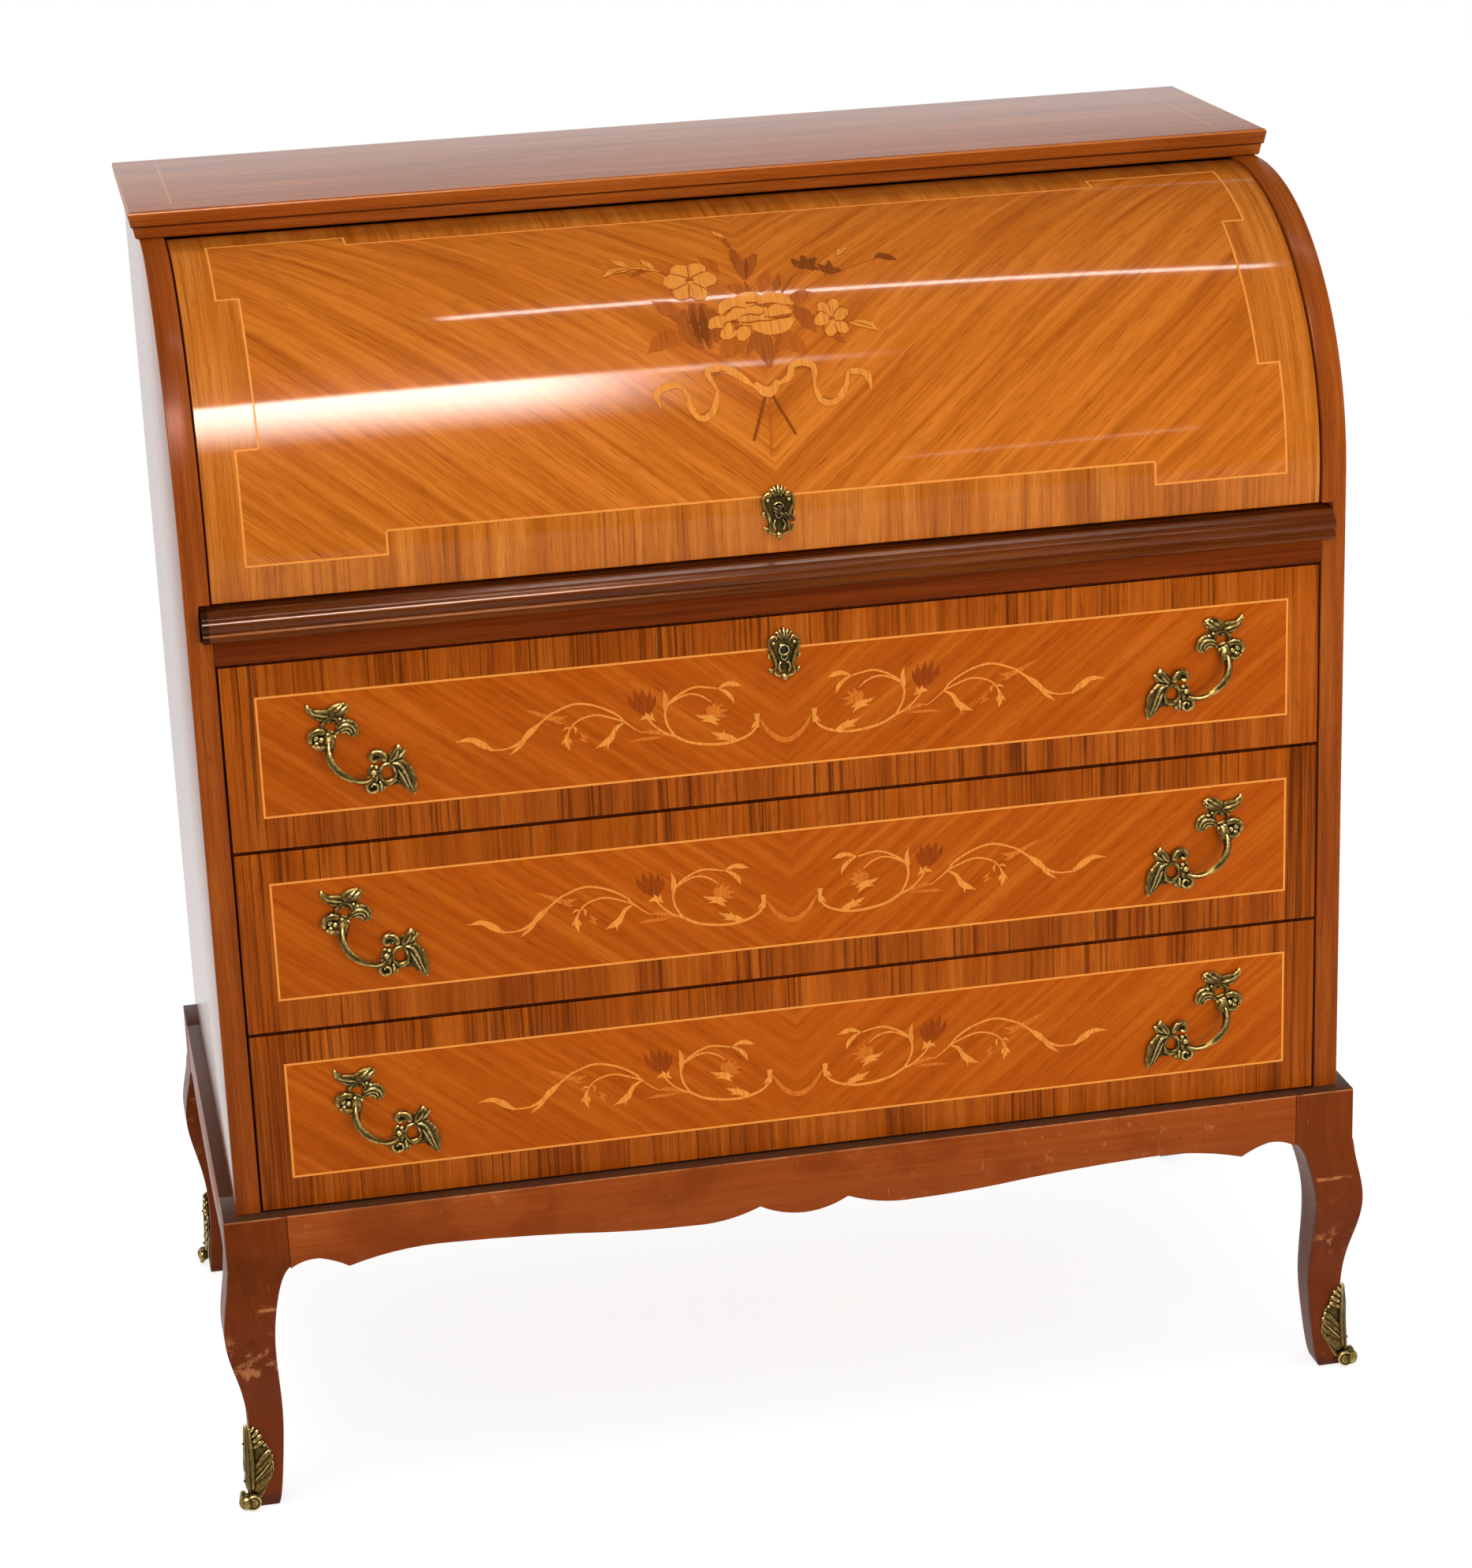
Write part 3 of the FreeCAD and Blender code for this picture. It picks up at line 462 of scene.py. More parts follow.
def plainVeneer(name, tones, seed, axis="z", figureDepth=0.7, roughness=0.3, polish=frontPolish, outside=None,
                glass=0.35, lines=(), edge=None):
    # outside marks the faces that are polished like glass, lines are places of another tone,
    # and edge is where the grain runs up a narrow face
    finish, shader = newFinish(name)
    point, x, y, z = shader.place()
    if edge:
        spread = (x * grain["slant"] + y * (1 - edge(shader, y, z)), z)
    else:
        spread = grainAlong(axis, x, y, z)
    colour, height = woodTone(shader, *spread, tones, seed, figureDepth=figureDepth, poreShare=0.4,
                              streaks=0.25)
    worn = shader.cloud(point, 14.0, 4.0)
    for mask, tone in lines:
        colour = shader.mix(mask(x, y, z), colour, tone)
    sockets = {"Base Color": colour, "Roughness": roughness + (worn - 0.5) * 0.16, **polish}
    if outside:
        sockets["Coat Weight"] = polish["Coat Weight"] + outside(x, y, z) * (glass - 0.1 + worn * 0.2)
    coated(shader, sockets, height, depth=0.00003)
    return finish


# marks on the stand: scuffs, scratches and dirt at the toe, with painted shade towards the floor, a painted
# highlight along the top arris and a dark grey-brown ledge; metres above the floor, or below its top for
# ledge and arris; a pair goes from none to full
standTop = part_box("apron_front")[1].z
standWearAndLight = {
    "ledge": 0.0004, "arris": (0.0022, 0.0008), "lower": (0.25, 0.12), "kneeLow": (0.1772, 0.1786),
    "kneeHigh": (0.1812, 0.1798), "shinLow": (0.1, 0.12), "shinHigh": (0.166, 0.15), "toe": (0.016, 0.003),
    "scratchWidth": 0.0016, "scratchLength": 0.017, "scratchSlant": 0.7,
    "lowerShadeTone": tint(102, 46, 25), "rubAndHighlightTone": tint(198, 128, 80), "toeTone": tint(62, 42, 38),
    "ledgeTone": tint(74, 50, 36),
}


def standFinish(name, tones, seed, axis):
    # red-brown, darkened towards the floor by painted shade, with a painted highlight on the top arris,
    # rubbed, scuffed and dirty places and a dark ledge
    wearAndLight = standWearAndLight
    finish, shader = newFinish(name)
    point, x, y, z = shader.place()
    colour, height = woodTone(shader, *grainAlong(axis, x, y, z), tones, seed, figureDepth=0.26,
                              poreShare=0.2, threadDepth=0.3, lineDepth=0.3)
    scuff = shader.cloud(point, 70.0, 5.0, 0.7)
    where = shader.cloud(point, 11.0, 2.0)
    rub = scuff.between(0.56, 0.68) * where.between(0.48, 0.68)
    slanted = (x * wearAndLight["scratchSlant"] + y * wearAndLight["scratchSlant"]) / wearAndLight["scratchWidth"]
    hairs = shader.noise(slanted, z / wearAndLight["scratchLength"], seed + 7.0, 2.0)
    scratch = hairs.between(0.68, 0.76) * where.between(0.45, 0.6)
    ledge = z.over(standTop - wearAndLight["ledge"])
    arrisLow, arrisHigh = (standTop - below for below in wearAndLight["arris"])
    # painted highlight along the top arris, broken up by the scuffs
    arris = z.between(arrisLow, arrisHigh) * scuff.between(0.3, 0.55) * (1 - ledge)
    knee = z.between(*wearAndLight["kneeLow"]) * z.between(*wearAndLight["kneeHigh"]) * scuff.between(0.48, 0.6)
    shin = z.between(*wearAndLight["shinLow"]) * z.between(*wearAndLight["shinHigh"]) * scuff.between(0.54, 0.62)
    shin = shin * where.between(0.42, 0.55)
    # real rubs, scratches and scuffs together with the painted highlight of the arris
    worn = (rub * 0.45).most(scratch * 0.7).most(arris * 0.7).most(knee * 0.6).most(shin * 0.55)
    # painted shade: darker towards the floor, as the legs are lit from above
    colour = shader.mix(z.between(*wearAndLight["lower"]) * 0.68, colour, wearAndLight["lowerShadeTone"])
    colour = shader.mix(worn, colour, wearAndLight["rubAndHighlightTone"])
    colour = shader.mix(z.between(*wearAndLight["toe"]) * scuff.between(0.35, 0.55) * 0.75, colour, wearAndLight["toeTone"])
    cloud = shader.cloud(point, 16.0, 3.0, 0.55)
    colour = shader.mix(cloud.between(0.55, 0.3) * 0.55, colour, tones[0])
    colour = shader.mix(scuff.between(0.36, 0.3) * 0.4, colour, tones[3])
    colour = shader.mix(ledge * 0.85, colour, wearAndLight["ledgeTone"])
    sockets = {"Base Color": colour, "Roughness": 0.34 + rub * 0.2, **standPolish}
    coated(shader, sockets, height - rub * 0.5, depth=0.00004)
    return finish


def inlayFinish(name, tone, seed, depth=1.0):
    finish, shader = newFinish(name)
    point, x, y, z = shader.place()
    fibres = shader.noise(x / 0.0016, z / 0.02, seed, 3.0)
    light = tuple(min(1.0, c * (1 + 0.15 * depth)) for c in tone[:3]) + (1.0,)
    dark = tuple(c * (1 - 0.28 * depth) for c in tone[:3]) + (1.0,)
    colour = fibres.ramp((0.3, dark), (0.5, tone), (0.72, light))
    sockets = {"Base Color": colour, "Roughness": 0.3 + fibres * 0.06, **frontPolish}
    coated(shader, sockets, fibres, depth=0.00002)
    return finish


def brassFinish(name, low, middle, high):
    # old gilt brass: dark in the hollows, brighter where it is rubbed
    finish, shader = newFinish(name)
    edge = shader.node("NewGeometry", {}, {}, "Pointiness").between(0.47, 0.56)
    patina = shader.cloud(shader.place()[0], 420.0, 4.0, 0.6)
    tone = (edge * 0.75 + patina * 0.5).between(0.25, 0.95)
    colour = tone.ramp((0.0, low), (0.55, middle), (1.0, high))
    sockets = {"Base Color": colour, "Metallic": 0.9, "Roughness": 0.46 - edge * 0.16,
               "Specular IOR Level": 0.4}
    coated(shader, sockets, patina, depth=0.00012)
    return finish


def plainBlack(name):
    # the black of an old pin, and the painted shade that fills a keyhole
    finish, shader = newFinish(name)
    cloud = shader.cloud(shader.place()[0], 300.0, 3.0)
    colour = cloud.ramp((0.3, tint(10, 8, 6)), (0.7, tint(34, 29, 24)))
    coated(shader, {"Base Color": colour, "Roughness": 0.5 + cloud * 0.2, "Specular IOR Level": 0.3})
    return finish


def steelFinish(name):
    finish, shader = newFinish(name)
    point, x, y, z = shader.place()
    brushed = shader.noise(x / 0.0004, z / 0.02, 3.0, 3.0)
    colour = brushed.ramp((0.3, tint(96, 94, 90)), (0.7, tint(150, 147, 140)))
    sockets = {"Base Color": colour, "Metallic": 1.0, "Roughness": 0.32 + brushed * 0.12}
    coated(shader, sockets, brushed, depth=0.00003)
    return finish


# gilt tooling of the leather: how far in from its edge and half how wide, in metres
tooling = {"line": (0.022, 0.0009), "hairline": (0.0135, 0.0004), "row": (0.0175, 0.0022), "dot": 0.0011}


def leatherFinish(name):
    # skiver with two gilt lines and a row of tooled dots inside its edge
    finish, shader = newFinish(name)
    point, x, y, z = shader.place()
    pebble = shader.node("TexVoronoi", {"feature": "SMOOTH_F1"}, {"Vector": point, "Scale": 620.0})
    cloud = shader.cloud(point, 12.0, 4.0)
    colour = (cloud * 0.7 + pebble * 0.4).ramp((0.25, tint(58, 20, 12)), (0.75, tint(112, 42, 24)))
    low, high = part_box("slide_leather")
    reach = (abs(x) - high.x).most(abs(y - (low.y + high.y) / 2) - (high.y - low.y) / 2)

    def ruled(kind):
        inset, half = tooling[kind]
        return 1 - abs(reach + inset).over(half)

    dots = shader.sum("SINE", x / tooling["dot"]) * shader.sum("SINE", y / tooling["dot"])
    lines = ruled("line").most(ruled("hairline")).most(ruled("row") * abs(dots).over(0.55))
    gold = lines * cloud.between(0.2, 0.5)
    colour = shader.mix(gold, colour, tint(206, 164, 84))
    sockets = {"Base Color": colour, "Metallic": gold * 0.8, "Roughness": 0.42 + cloud * 0.15 - gold * 0.1,
               "Specular IOR Level": 0.35}
    coated(shader, sockets, (1 - pebble) * (1 - gold), depth=0.0002)
    return finish


sideTones = (tint(112, 48, 10), tint(148, 70, 18), tint(172, 92, 32), tint(74, 30, 6))
topTones = (tint(128, 60, 16), tint(158, 80, 24), tint(182, 104, 40), tint(84, 38, 10))
railTones = (tint(80, 28, 4), tint(107, 42, 6), tint(128, 57, 12), tint(48, 16, 2))
nosingTones = (tint(58, 23, 5), tint(90, 40, 10), tint(122, 60, 18), tint(32, 12, 3))
standTones = (tint(112, 46, 12), tint(146, 68, 24), tint(170, 92, 42), tint(64, 24, 6))
legTones = (tint(76, 30, 8), tint(112, 48, 15), tint(146, 74, 31), tint(44, 16, 4))
plainTones = (tint(150, 104, 58), tint(182, 134, 82), tint(204, 160, 106), tint(112, 72, 36))

# how deep the skin of a face is taken to be, in metres
skin = {"face": 0.0006, "arch": 0.0016, "top": 0.002}
sideEdge, topSkin = sideHigh.x - skin["face"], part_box("top_board")[1].z - skin["face"]

rollWood = rollVeneer(4.0)


def outerSide(x, y, z):
    return abs(x).over(sideEdge)


def archEdge(shader, y, z):
    # the front edge of a side, up its straight part and round its arch
    point = shader.node("CombineXYZ", {}, {0: y - axisY, 1: (z - axisZ).most(0.0), 2: 0.0})
    away = shader.node("VectorMath", {"operation": "LENGTH"}, {0: point}, "Value")
    return away.over(axisY - frontY - skin["arch"]) * (1 - y.over(axisY))


sideWood = plainVeneer("veneer_sides", sideTones, 11.0, polish=sidePolish, outside=outerSide, glass=0.9,
                       edge=archEdge)
# the string round the top, the height and width of a painted shade line under the lip, and the depth of a
# painted highlight along the upper edge
topString = {"ends": 0.036, "edges": 0.03, "width": 0.0017, "groove": 0.010, "grooveWidth": 0.0012,
             "arris": 0.0015}


def topFace(x, y, z):
    return z.between(topSkin - skin["top"], topSkin)


def topLine(x, y, z):
    # a string round the top, in from its ends and its long edges
    low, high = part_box("top_board")
    pastEnds = abs(x) - (high.x - topString["ends"])
    pastEdges = abs(y - (low.y + high.y) / 2) - ((high.y - low.y) / 2 - topString["edges"])
    return (1 - abs(pastEnds.most(pastEdges)).over(topString["width"] / 2)) * z.over(topSkin)


def topLipShade(x, y, z):
    # a painted shade line under the lip of the top, where the step below it is in shade
    away = abs(z - (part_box("top_board")[0].z + topString["groove"]))
    return 1 - away.between(topString["grooveWidth"] / 2, topString["grooveWidth"])


def topArrisHighlight(x, y, z):
    # a painted highlight along the rounded upper edge round the top
    return z.over(topSkin - topString["arris"]) * (1 - z.over(topSkin)) * 0.6


topWood = plainVeneer("veneer_top", topTones, 17.0, axis="x", outside=topFace, glass=0.4, lines=[
    (topLine, tint(182, 110, 58)), (topLipShade, topTones[3]), (topArrisHighlight, tint(206, 122, 60))])
railWood = plainVeneer("wood_rail", railTones, 23.0, axis="x", figureDepth=0.5)
nosingLow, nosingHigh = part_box("slide_nosing")
# the nosing's polish starts between these heights, and its left end is painted dark as shade where it meets
# the stile, in metres
nosingMarks = {"polish": (0.007, 0.012), "shadedEnd": (0.0058, 0.0048)}


def nosingFace(x, y, z):
    low, high = nosingMarks["polish"]
    return z.between(nosingLow.z + low, nosingLow.z + high)


def nosingEndShade(x, y, z):
    # painted shade over the left end of the nosing
    return (x + nosingHigh.x).between(*nosingMarks["shadedEnd"]) * 0.85


nosingWood = plainVeneer("wood_nosing", nosingTones, 29.0, axis="x", roughness=0.26, polish=nosingPolish,
                         glass=0.26, outside=nosingFace, lines=[(nosingEndShade, nosingTones[3])])
standWoodX = standFinish("wood_stand_long", standTones, 37.0, "x")
standWoodY = standFinish("wood_stand_side", standTones, 41.0, "y")
standWoodZ = standFinish("wood_stand_leg", legTones, 43.0, "z")
plainX = plainVeneer("wood_plain_long", plainTones, 47.0, axis="x", roughness=0.5, polish=noPolish)
plainY = plainVeneer("wood_plain_deep", plainTones, 53.0, axis="y", roughness=0.5, polish=noPolish)
nestWood = plainVeneer("veneer_nest", sideTones, 59.0, axis="x")
nestUpright = plainVeneer("veneer_nest_upright", sideTones, 61.0, axis="z")
stringWood = inlayFinish("inlay_string", tint(228, 144, 62), 67.0, 0.3)
lightWood = inlayFinish("inlay_light", tint(220, 136, 54), 71.0)
brownWood = inlayFinish("inlay_brown", tint(198, 106, 32), 73.0)
darkWood = inlayFinish("inlay_dark", tint(142, 61, 10), 79.0)
bouquetWoods = {"russet": inlayFinish("inlay_roll_russet", tint(172, 86, 22), 101.0),
                "brown": inlayFinish("inlay_roll_brown", tint(156, 78, 22), 103.0),
                "dark": inlayFinish("inlay_roll_dark", tint(128, 62, 15), 107.0),
                "light": inlayFinish("inlay_roll_light", tint(216, 134, 52), 109.0)}
brass = brassFinish("brass_antique", tint(38, 30, 14), tint(122, 98, 46), tint(214, 190, 120))
keyBrass = brassFinish("brass_key", tint(16, 13, 7), tint(48, 40, 24), tint(104, 92, 62))
blackPinsAndHoleShade = plainBlack("black_pins_and_keyhole_shade")
steel = steelFinish("steel_lock")
leather = leatherFinish("leather_slide")
print("finishes made")


# carcase

# widths of the eased edges, in metres
carcase = {"side": 0.0012, "top": 0.0006, "topAngle": 50, "rail": 0.0006, "slide": 0.0005, "leather": 0.0004,
           "drawer": 0.0009}

for side in ("left", "right"):
    softened("side_" + side, "side_veneered_" + side, sideWood, carcase["side"])
softened("top_board", "top_veneered", topWood, carcase["top"], edgeAngle=carcase["topAngle"])
softened("rail_front", "rail_polished", railWood, carcase["rail"])
softened("writing_slide", "slide_board", sideWood, carcase["slide"])
softened("slide_leather", "slide_skiver", leather, carcase["leather"])
for number, drawer in enumerate(drawers):
    veneer = drawerVeneer(drawer + "_front", 101.0 + 13 * number)
    softened(drawer + "_front", drawer + "_veneered", veneer, carcase["drawer"])
print("carcase dressed")


# nosing of the slide: a hollow, an arris and two beads, in millimetres ahead of the front and up from below
nosing = {"profile": [(-6, 0), (-6, 24), (0, 24), (2.2, 22.7), (4.4, 20.9), (6.2, 19.7), (7.3, 19.4),
                      (7.4, 18.5), (8.2, 18.2), (9.6, 17.1), (10.7, 15.1), (11, 13), (10.6, 10.9), (9.6, 9.3),
                      (8.6, 8.6), (8.4, 7.9), (9.3, 7.1), (10.2, 5.5), (10.4, 3.8), (9.6, 1.9), (7.9, 0.5),
                      (6.2, 0)],
          "edge": 0.0004, "edgeAngle": 32}


def nosingBar():
    pick()
    bpy.ops.mesh.primitive_circle_add(vertices=len(nosing["profile"]), radius=0.01, fill_type="NGON")
    piece = bpy.context.object
    for vertex, (out, up) in zip(piece.data.vertices, nosing["profile"]):
        vertex.co = (nosingLow.x, frontY - out / 1000, nosingLow.z + up / 1000)
    bpy.ops.object.mode_set(mode="EDIT")
    bpy.ops.mesh.select_all(action="SELECT")
    bpy.ops.mesh.extrude_region_move(TRANSFORM_OT_translate={"value": (nosingHigh.x - nosingLow.x, 0, 0)})
    bpy.ops.object.mode_set(mode="OBJECT")
    cleanMesh(piece)
    eased(piece, nosing["edge"], nosing["edgeAngle"])
    smoothed(piece, 40)
    return finished(piece, "nosing_moulded", "slide", nosingWood, ["slide_nosing"])


nosingBar()
print("nosing moulded")


# roll

rollShape = {"steps": 72, "edge": 0.0008, "edgeAngle": 40}


def rollShell():
    thickness = rollRadius - (endHigh.z - axisZ)
    lip = math.asin((axisZ - shellLow.z) / rollRadius)
    tuck = math.asin((shellHigh.y - axisY) / rollRadius)
    pick()
    bpy.ops.mesh.primitive_plane_add(size=1, location=(0, 0, 0))
    piece = bpy.context.object
    bpy.ops.object.mode_set(mode="EDIT")
    middle = rollRadius - thickness / 2
    bpy.ops.transform.resize(value=(rollHalf * 2, thickness, 1))
    bpy.ops.transform.translate(value=(0, axisY - middle, axisZ))
    bpy.ops.mesh.spin(steps=rollShape["steps"], angle=lip + math.pi / 2 + tuck, center=(0, axisY, axisZ),
                      axis=(1, 0, 0))
    bpy.ops.object.mode_set(mode="OBJECT")
    # the spin starts level with the axis, so the whole shell turns down by the lip
    axis = Vector((0, axisY, axisZ))
    piece.data.transform(Matrix.Translation(axis) @ Matrix.Rotation(lip, 4, "X") @ Matrix.Translation(-axis))
    cleanMesh(piece)
    eased(piece, rollShape["edge"], rollShape["edgeAngle"])
    smoothed(piece)
    return finished(piece, "roll_veneered", "roll", rollWood, ["cylinder_shell"])


shell = rollShell()
print("roll spun", [round(v, 4) for v in (*shell.bound_box[0], *shell.bound_box[6])])


# inlaid strings and flowers

# in metres: rise of a wood above the veneer, step from stroke to stroke, layer from wood to wood
inlay = {"rise": 0.00012, "step": 0.000006, "layer": 0.0002, "veins": 0.0009, "thickness": 0.0004,
         "string": 0.0017, "stride": 0.002, "broad": 0.006}


def onDrawer(middle):
    return lambda u, v, rise: (u, frontY - rise, middle + v)


def onRoll(u, v, rise):
    angle, radius = v / rollRadius, rollRadius + rise
    return (u, axisY - radius * math.cos(angle), axisZ + radius * math.sin(angle))


def ribbon(points, widths, put, rise, count, across):
    # a flat strip along a soft curve, as rows of points across it
    walk = smoothPath(points, count)
    rows = []
    for step, spot in enumerate(walk):
        way = walk[min(step + 1, count)] - walk[max(step - 1, 0)]
        side = Vector((-way.y, way.x)).normalized()
        half = alongList(widths, step / count) / 2
        rows.append([put(*(spot + side * (half * (1 - 2 * k / across))), rise) for k in range(across + 1)])
    return rows


def inlaid(name, strokes, put, finish, body):
    # strokes of (points, widths) in metres, cut in one wood; each lies a hair above the one before
    sheets = []
    for number, stroke in enumerate(strokes):
        points, widths = stroke[:2]
        length = sum((Vector(b) - Vector(a)).length for a, b in zip(points, points[1:]))
        count = stroke[2] if len(stroke) > 2 else max(8, min(40, int(length / inlay["stride"])))
        across = 2 if max(widths) < inlay["broad"] else 4
        sheets.append(ribbon(points, widths, put, inlay["rise"] + inlay["step"] * number, count, across))
    piece = sheetsToMesh(name, sheets)
    addModifier(piece, "SOLIDIFY", thickness=inlay["thickness"], offset=-1)
    smoothed(piece, 40)
    return finished(piece, name, body, finish)


def thin(widths):
    return [w / 1000 for w in widths]


def mirrored(strokes):
    return [([(-x, z) for x, z in stroke[0]], *stroke[1:]) for stroke in strokes]


def drawerStrings(node):
    low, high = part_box(node)
    x, z = high.x - banding["inset"], (high.z - low.z) / 2 - banding["inset"]
    width, half = [inlay["string"]] * 2, inlay["string"] / 2
    return [([(-x - half, z), (x + half, z)], width, 8), ([(-x - half, -z), (x + half, -z)], width, 8),
            ([(-x, -z), (-x, z)], width, 8), ([(x, -z), (x, z)], width, 8)]


# the left half of a drawer's spray, from the middle of its front, in millimetres
spray = {
    "light": [
        ([(-260.5, -2.5), (-249.6, -1.6), (-242, -5.5), (-232.5, -12.0)], (0.6, 3.8, 5.6, 2.4)),
        ([(-233.5, -11.9), (-220.7, -11.8), (-210.6, -7.7), (-202.3, -0.3), (-191, 8.8), (-184.6, 13.4)],
         (1.2, 1.3, 2.6, 5.0, 1.7, 1.6)),
        ([(-219.1, -17.1), (-214.5, -13.5), (-210.8, -10.8), (-206, -5.5)], (0.4, 2.4, 2.6, 1.2)),
        ([(-185.4, 12.9), (-169.8, 18.5), (-157.9, 18.1), (-144.3, 13.2), (-132.7, 5.9), (-129, 1.4),
          (-121, -5.5), (-113.6, -10.5)], (1.6, 1.7, 1.8, 1.8, 1.8, 1.6, 1.2, 0.6)),
        ([(-172.9, -3.4), (-167.6, 3.3), (-158.4, 7.5), (-148.5, 8.1), (-136.8, 4.2), (-128, 0.6)],
         (1.0, 1.3, 1.4, 1.5, 1.5, 1.4)),
        ([(-170.4, -0.6), (-173.8, 0.2), (-177.4, -1.8)], (0.8, 1.9, 0.4)),
        ([(-168.6, 1.0), (-166.6, -1.6), (-167.2, -5.2)], (0.8, 1.9, 0.4)),
        ([(-171.6, -1.6), (-173.6, -6.0), (-174.4, -10.4), (-172.4, -18.4)], (1.0, 2.6, 3.6, 0.5)),
        ([(-173.4, -7.0), (-176.0, -10.0), (-178.2, -13.0)], (0.8, 2.4, 0.5)),
        ([(-172.8, -8.0), (-171.6, -10.6), (-170.8, -13.4)], (0.8, 2.0, 0.4)),
        ([(-128, 0.2), (-135.2, -4.2), (-140.6, -12.9), (-151.8, -18.6)], (1.4, 3.4, 5.4, 0.5)),
        ([(-138.5, -9.5), (-141.6, -15.0), (-142.2, -20.4)], (0.8, 2.4, 0.5)),
        ([(-108.2, 0.4), (-111.8, 2.6), (-115.8, 0.8)], (0.9, 3.2, 0.5)),
        ([(-108.4, 0.8), (-109.8, 3.8), (-111.4, 6.6)], (0.9, 2.8, 0.5)),
        ([(-108.4, 0.8), (-106.6, 3.0), (-106.0, 6.0)], (0.9, 2.6, 0.5)),
        ([(-109.2, 1.4), (-106.0, 0.8), (-103.6, -1.2)], (0.9, 2.2, 0.5)),
        ([(-111, 2.6), (-103.4, -6.4), (-95.7, -12.4), (-88.8, -15.2)], (1.4, 1.4, 1.6, 1.8)),
        ([(-88.8, -15.2), (-94.4, -5.3), (-95.9, 5.2), (-92.6, 12.1), (-82.3, 19.3), (-70.2, 23.2),
          (-54.3, 20.5)], (1.8, 1.8, 1.8, 1.8, 1.8, 1.6, 1.2)),
        ([(-96.6, 23.4), (-95.0, 17.5), (-95.2, 11.0), (-95.6, 4.5)], (0.4, 3.4, 4.2, 1.6)),
        ([(-53.3, 20.4), (-46, 23.4), (-40, 22.6), (-34.3, 20.6)], (1.0, 3.2, 4.2, 0.5)),
        ([(-53.3, 20.4), (-47.5, 17.2), (-43, 12.6), (-40.8, 6.8)], (1.0, 2.8, 3.6, 0.5)),
        ([(-93.0, 11.2), (-82.5, 16.7), (-74.1, 17.9), (-65.7, 15.0), (-59.0, 9.8)],
         (1.2, 1.5, 1.5, 1.5, 0.8)),
        ([(-71.8, 0.6), (-67.0, -1.6), (-61.0, -2.6), (-52.6, -5.8)], (0.5, 3.2, 4.2, 0.8)),
        ([(-67.6, -5.4), (-62.5, -4.8), (-58.0, -6.2), (-54.0, -10.0)], (0.5, 2.6, 3.2, 0.6)),
        ([(-88.8, -15.2), (-78, -21.1), (-64.1, -24.4), (-48, -25.2), (-33.8, -21.9), (-25.5, -16.5),
          (-22.2, -8.6)], (2.2, 2.2, 2.2, 2.2, 2.2, 2.0, 1.6)),
        ([(-59.6, -15.0), (-53.5, -17.8), (-47.5, -20.2), (-38.6, -23.6)], (0.5, 3.8, 5.2, 1.2)),
        ([(-56.2, -21.0), (-51.5, -20.8), (-45.5, -21.8)], (0.4, 2.4, 1.2)),
        ([(-50.2, -14.4), (-49.4, -17.2), (-46.0, -20.0)], (0.4, 2.0, 1.2)),
        ([(-23.0, -3.2), (-22.9, -8.0), (-22.4, -14.8)], (4.4, 3.4, 1.8)),
        ([(-22.6, -9.0), (-25.6, -12.4), (-27.8, -15.4)], (0.9, 2.6, 0.5)),
    ],
    "brown": [
        ([(-205.0, 18.4), (-197.5, 15.0), (-189.8, 11.0), (-181.0, 8.2), (-172.3, 10.0)],
         (0.5, 3.0, 4.4, 4.0, 0.6)),
        ([(-186.0, 9.0), (-180.0, 5.2), (-174.6, 4.4)], (0.6, 2.4, 0.5)),
        ([(-163.4, -4.6), (-160.6, -8.2), (-156.6, -9.4)], (0.5, 2.8, 0.5)),
        ([(-165.0, -9.6), (-161.0, -11.0), (-157.6, -14.0)], (0.5, 2.6, 0.5)),
        ([(-116.6, -9.6), (-108.0, -9.8), (-99.0, -12.0), (-90.0, -14.6)], (0.6, 3.4, 3.2, 0.8)),
        ([(-125.8, -16.5), (-117.0, -15.2), (-107.7, -15.0), (-98.0, -14.6)], (0.5, 2.4, 2.6, 0.6)),
        ([(-62.0, -0.4), (-61.6, 4.0), (-60.2, 7.6)], (1.0, 3.6, 0.8)),
        ([(-61.0, -0.4), (-57.6, 5.2), (-54.8, 9.8)], (1.0, 4.4, 0.8)),
        ([(-60.0, -0.6), (-54.4, 4.2), (-49.6, 7.4)], (1.0, 4.4, 0.8)),
        ([(-59.0, -1.0), (-52.4, 1.4), (-46.2, 2.0)], (1.0, 4.2, 0.8)),
        ([(-59.0, -1.6), (-53.0, -1.6), (-47.0, -3.4)], (1.0, 3.6, 0.8)),
        ([(-20.6, -8.6), (-13.4, -19.7), (-5.0, -26.2), (0.4, -27.2)], (1.4, 3.0, 4.2, 4.4)),
    ],
    "dark": [
        ([(-125.0, 22.6), (-122.0, 15.6), (-116.0, 9.4), (-111.4, 4.6)], (0.6, 4.4, 5.0, 1.4)),
        ([(-119.8, 26.2), (-117.6, 19.0), (-114.0, 11.0), (-111.0, 4.6)], (0.6, 4.8, 5.4, 1.4)),
        ([(-113.4, 26.0), (-112.6, 19.0), (-111.8, 11.0), (-110.8, 4.6)], (0.6, 5.0, 5.4, 1.4)),
        ([(-107.4, 23.6), (-107.6, 17.4), (-109.2, 10.6), (-110.4, 4.6)], (0.6, 4.6, 5.0, 1.4)),
        ([(-103.2, 19.2), (-104.4, 14.2), (-107.4, 9.0), (-110.0, 4.6)], (0.6, 4.0, 4.6, 1.4)),
    ],
}


def scaled(strokes):
    # millimetres become metres
    return [([(x / 1000, z / 1000) for x, z in points], thin(widths)) for points, widths in strokes]


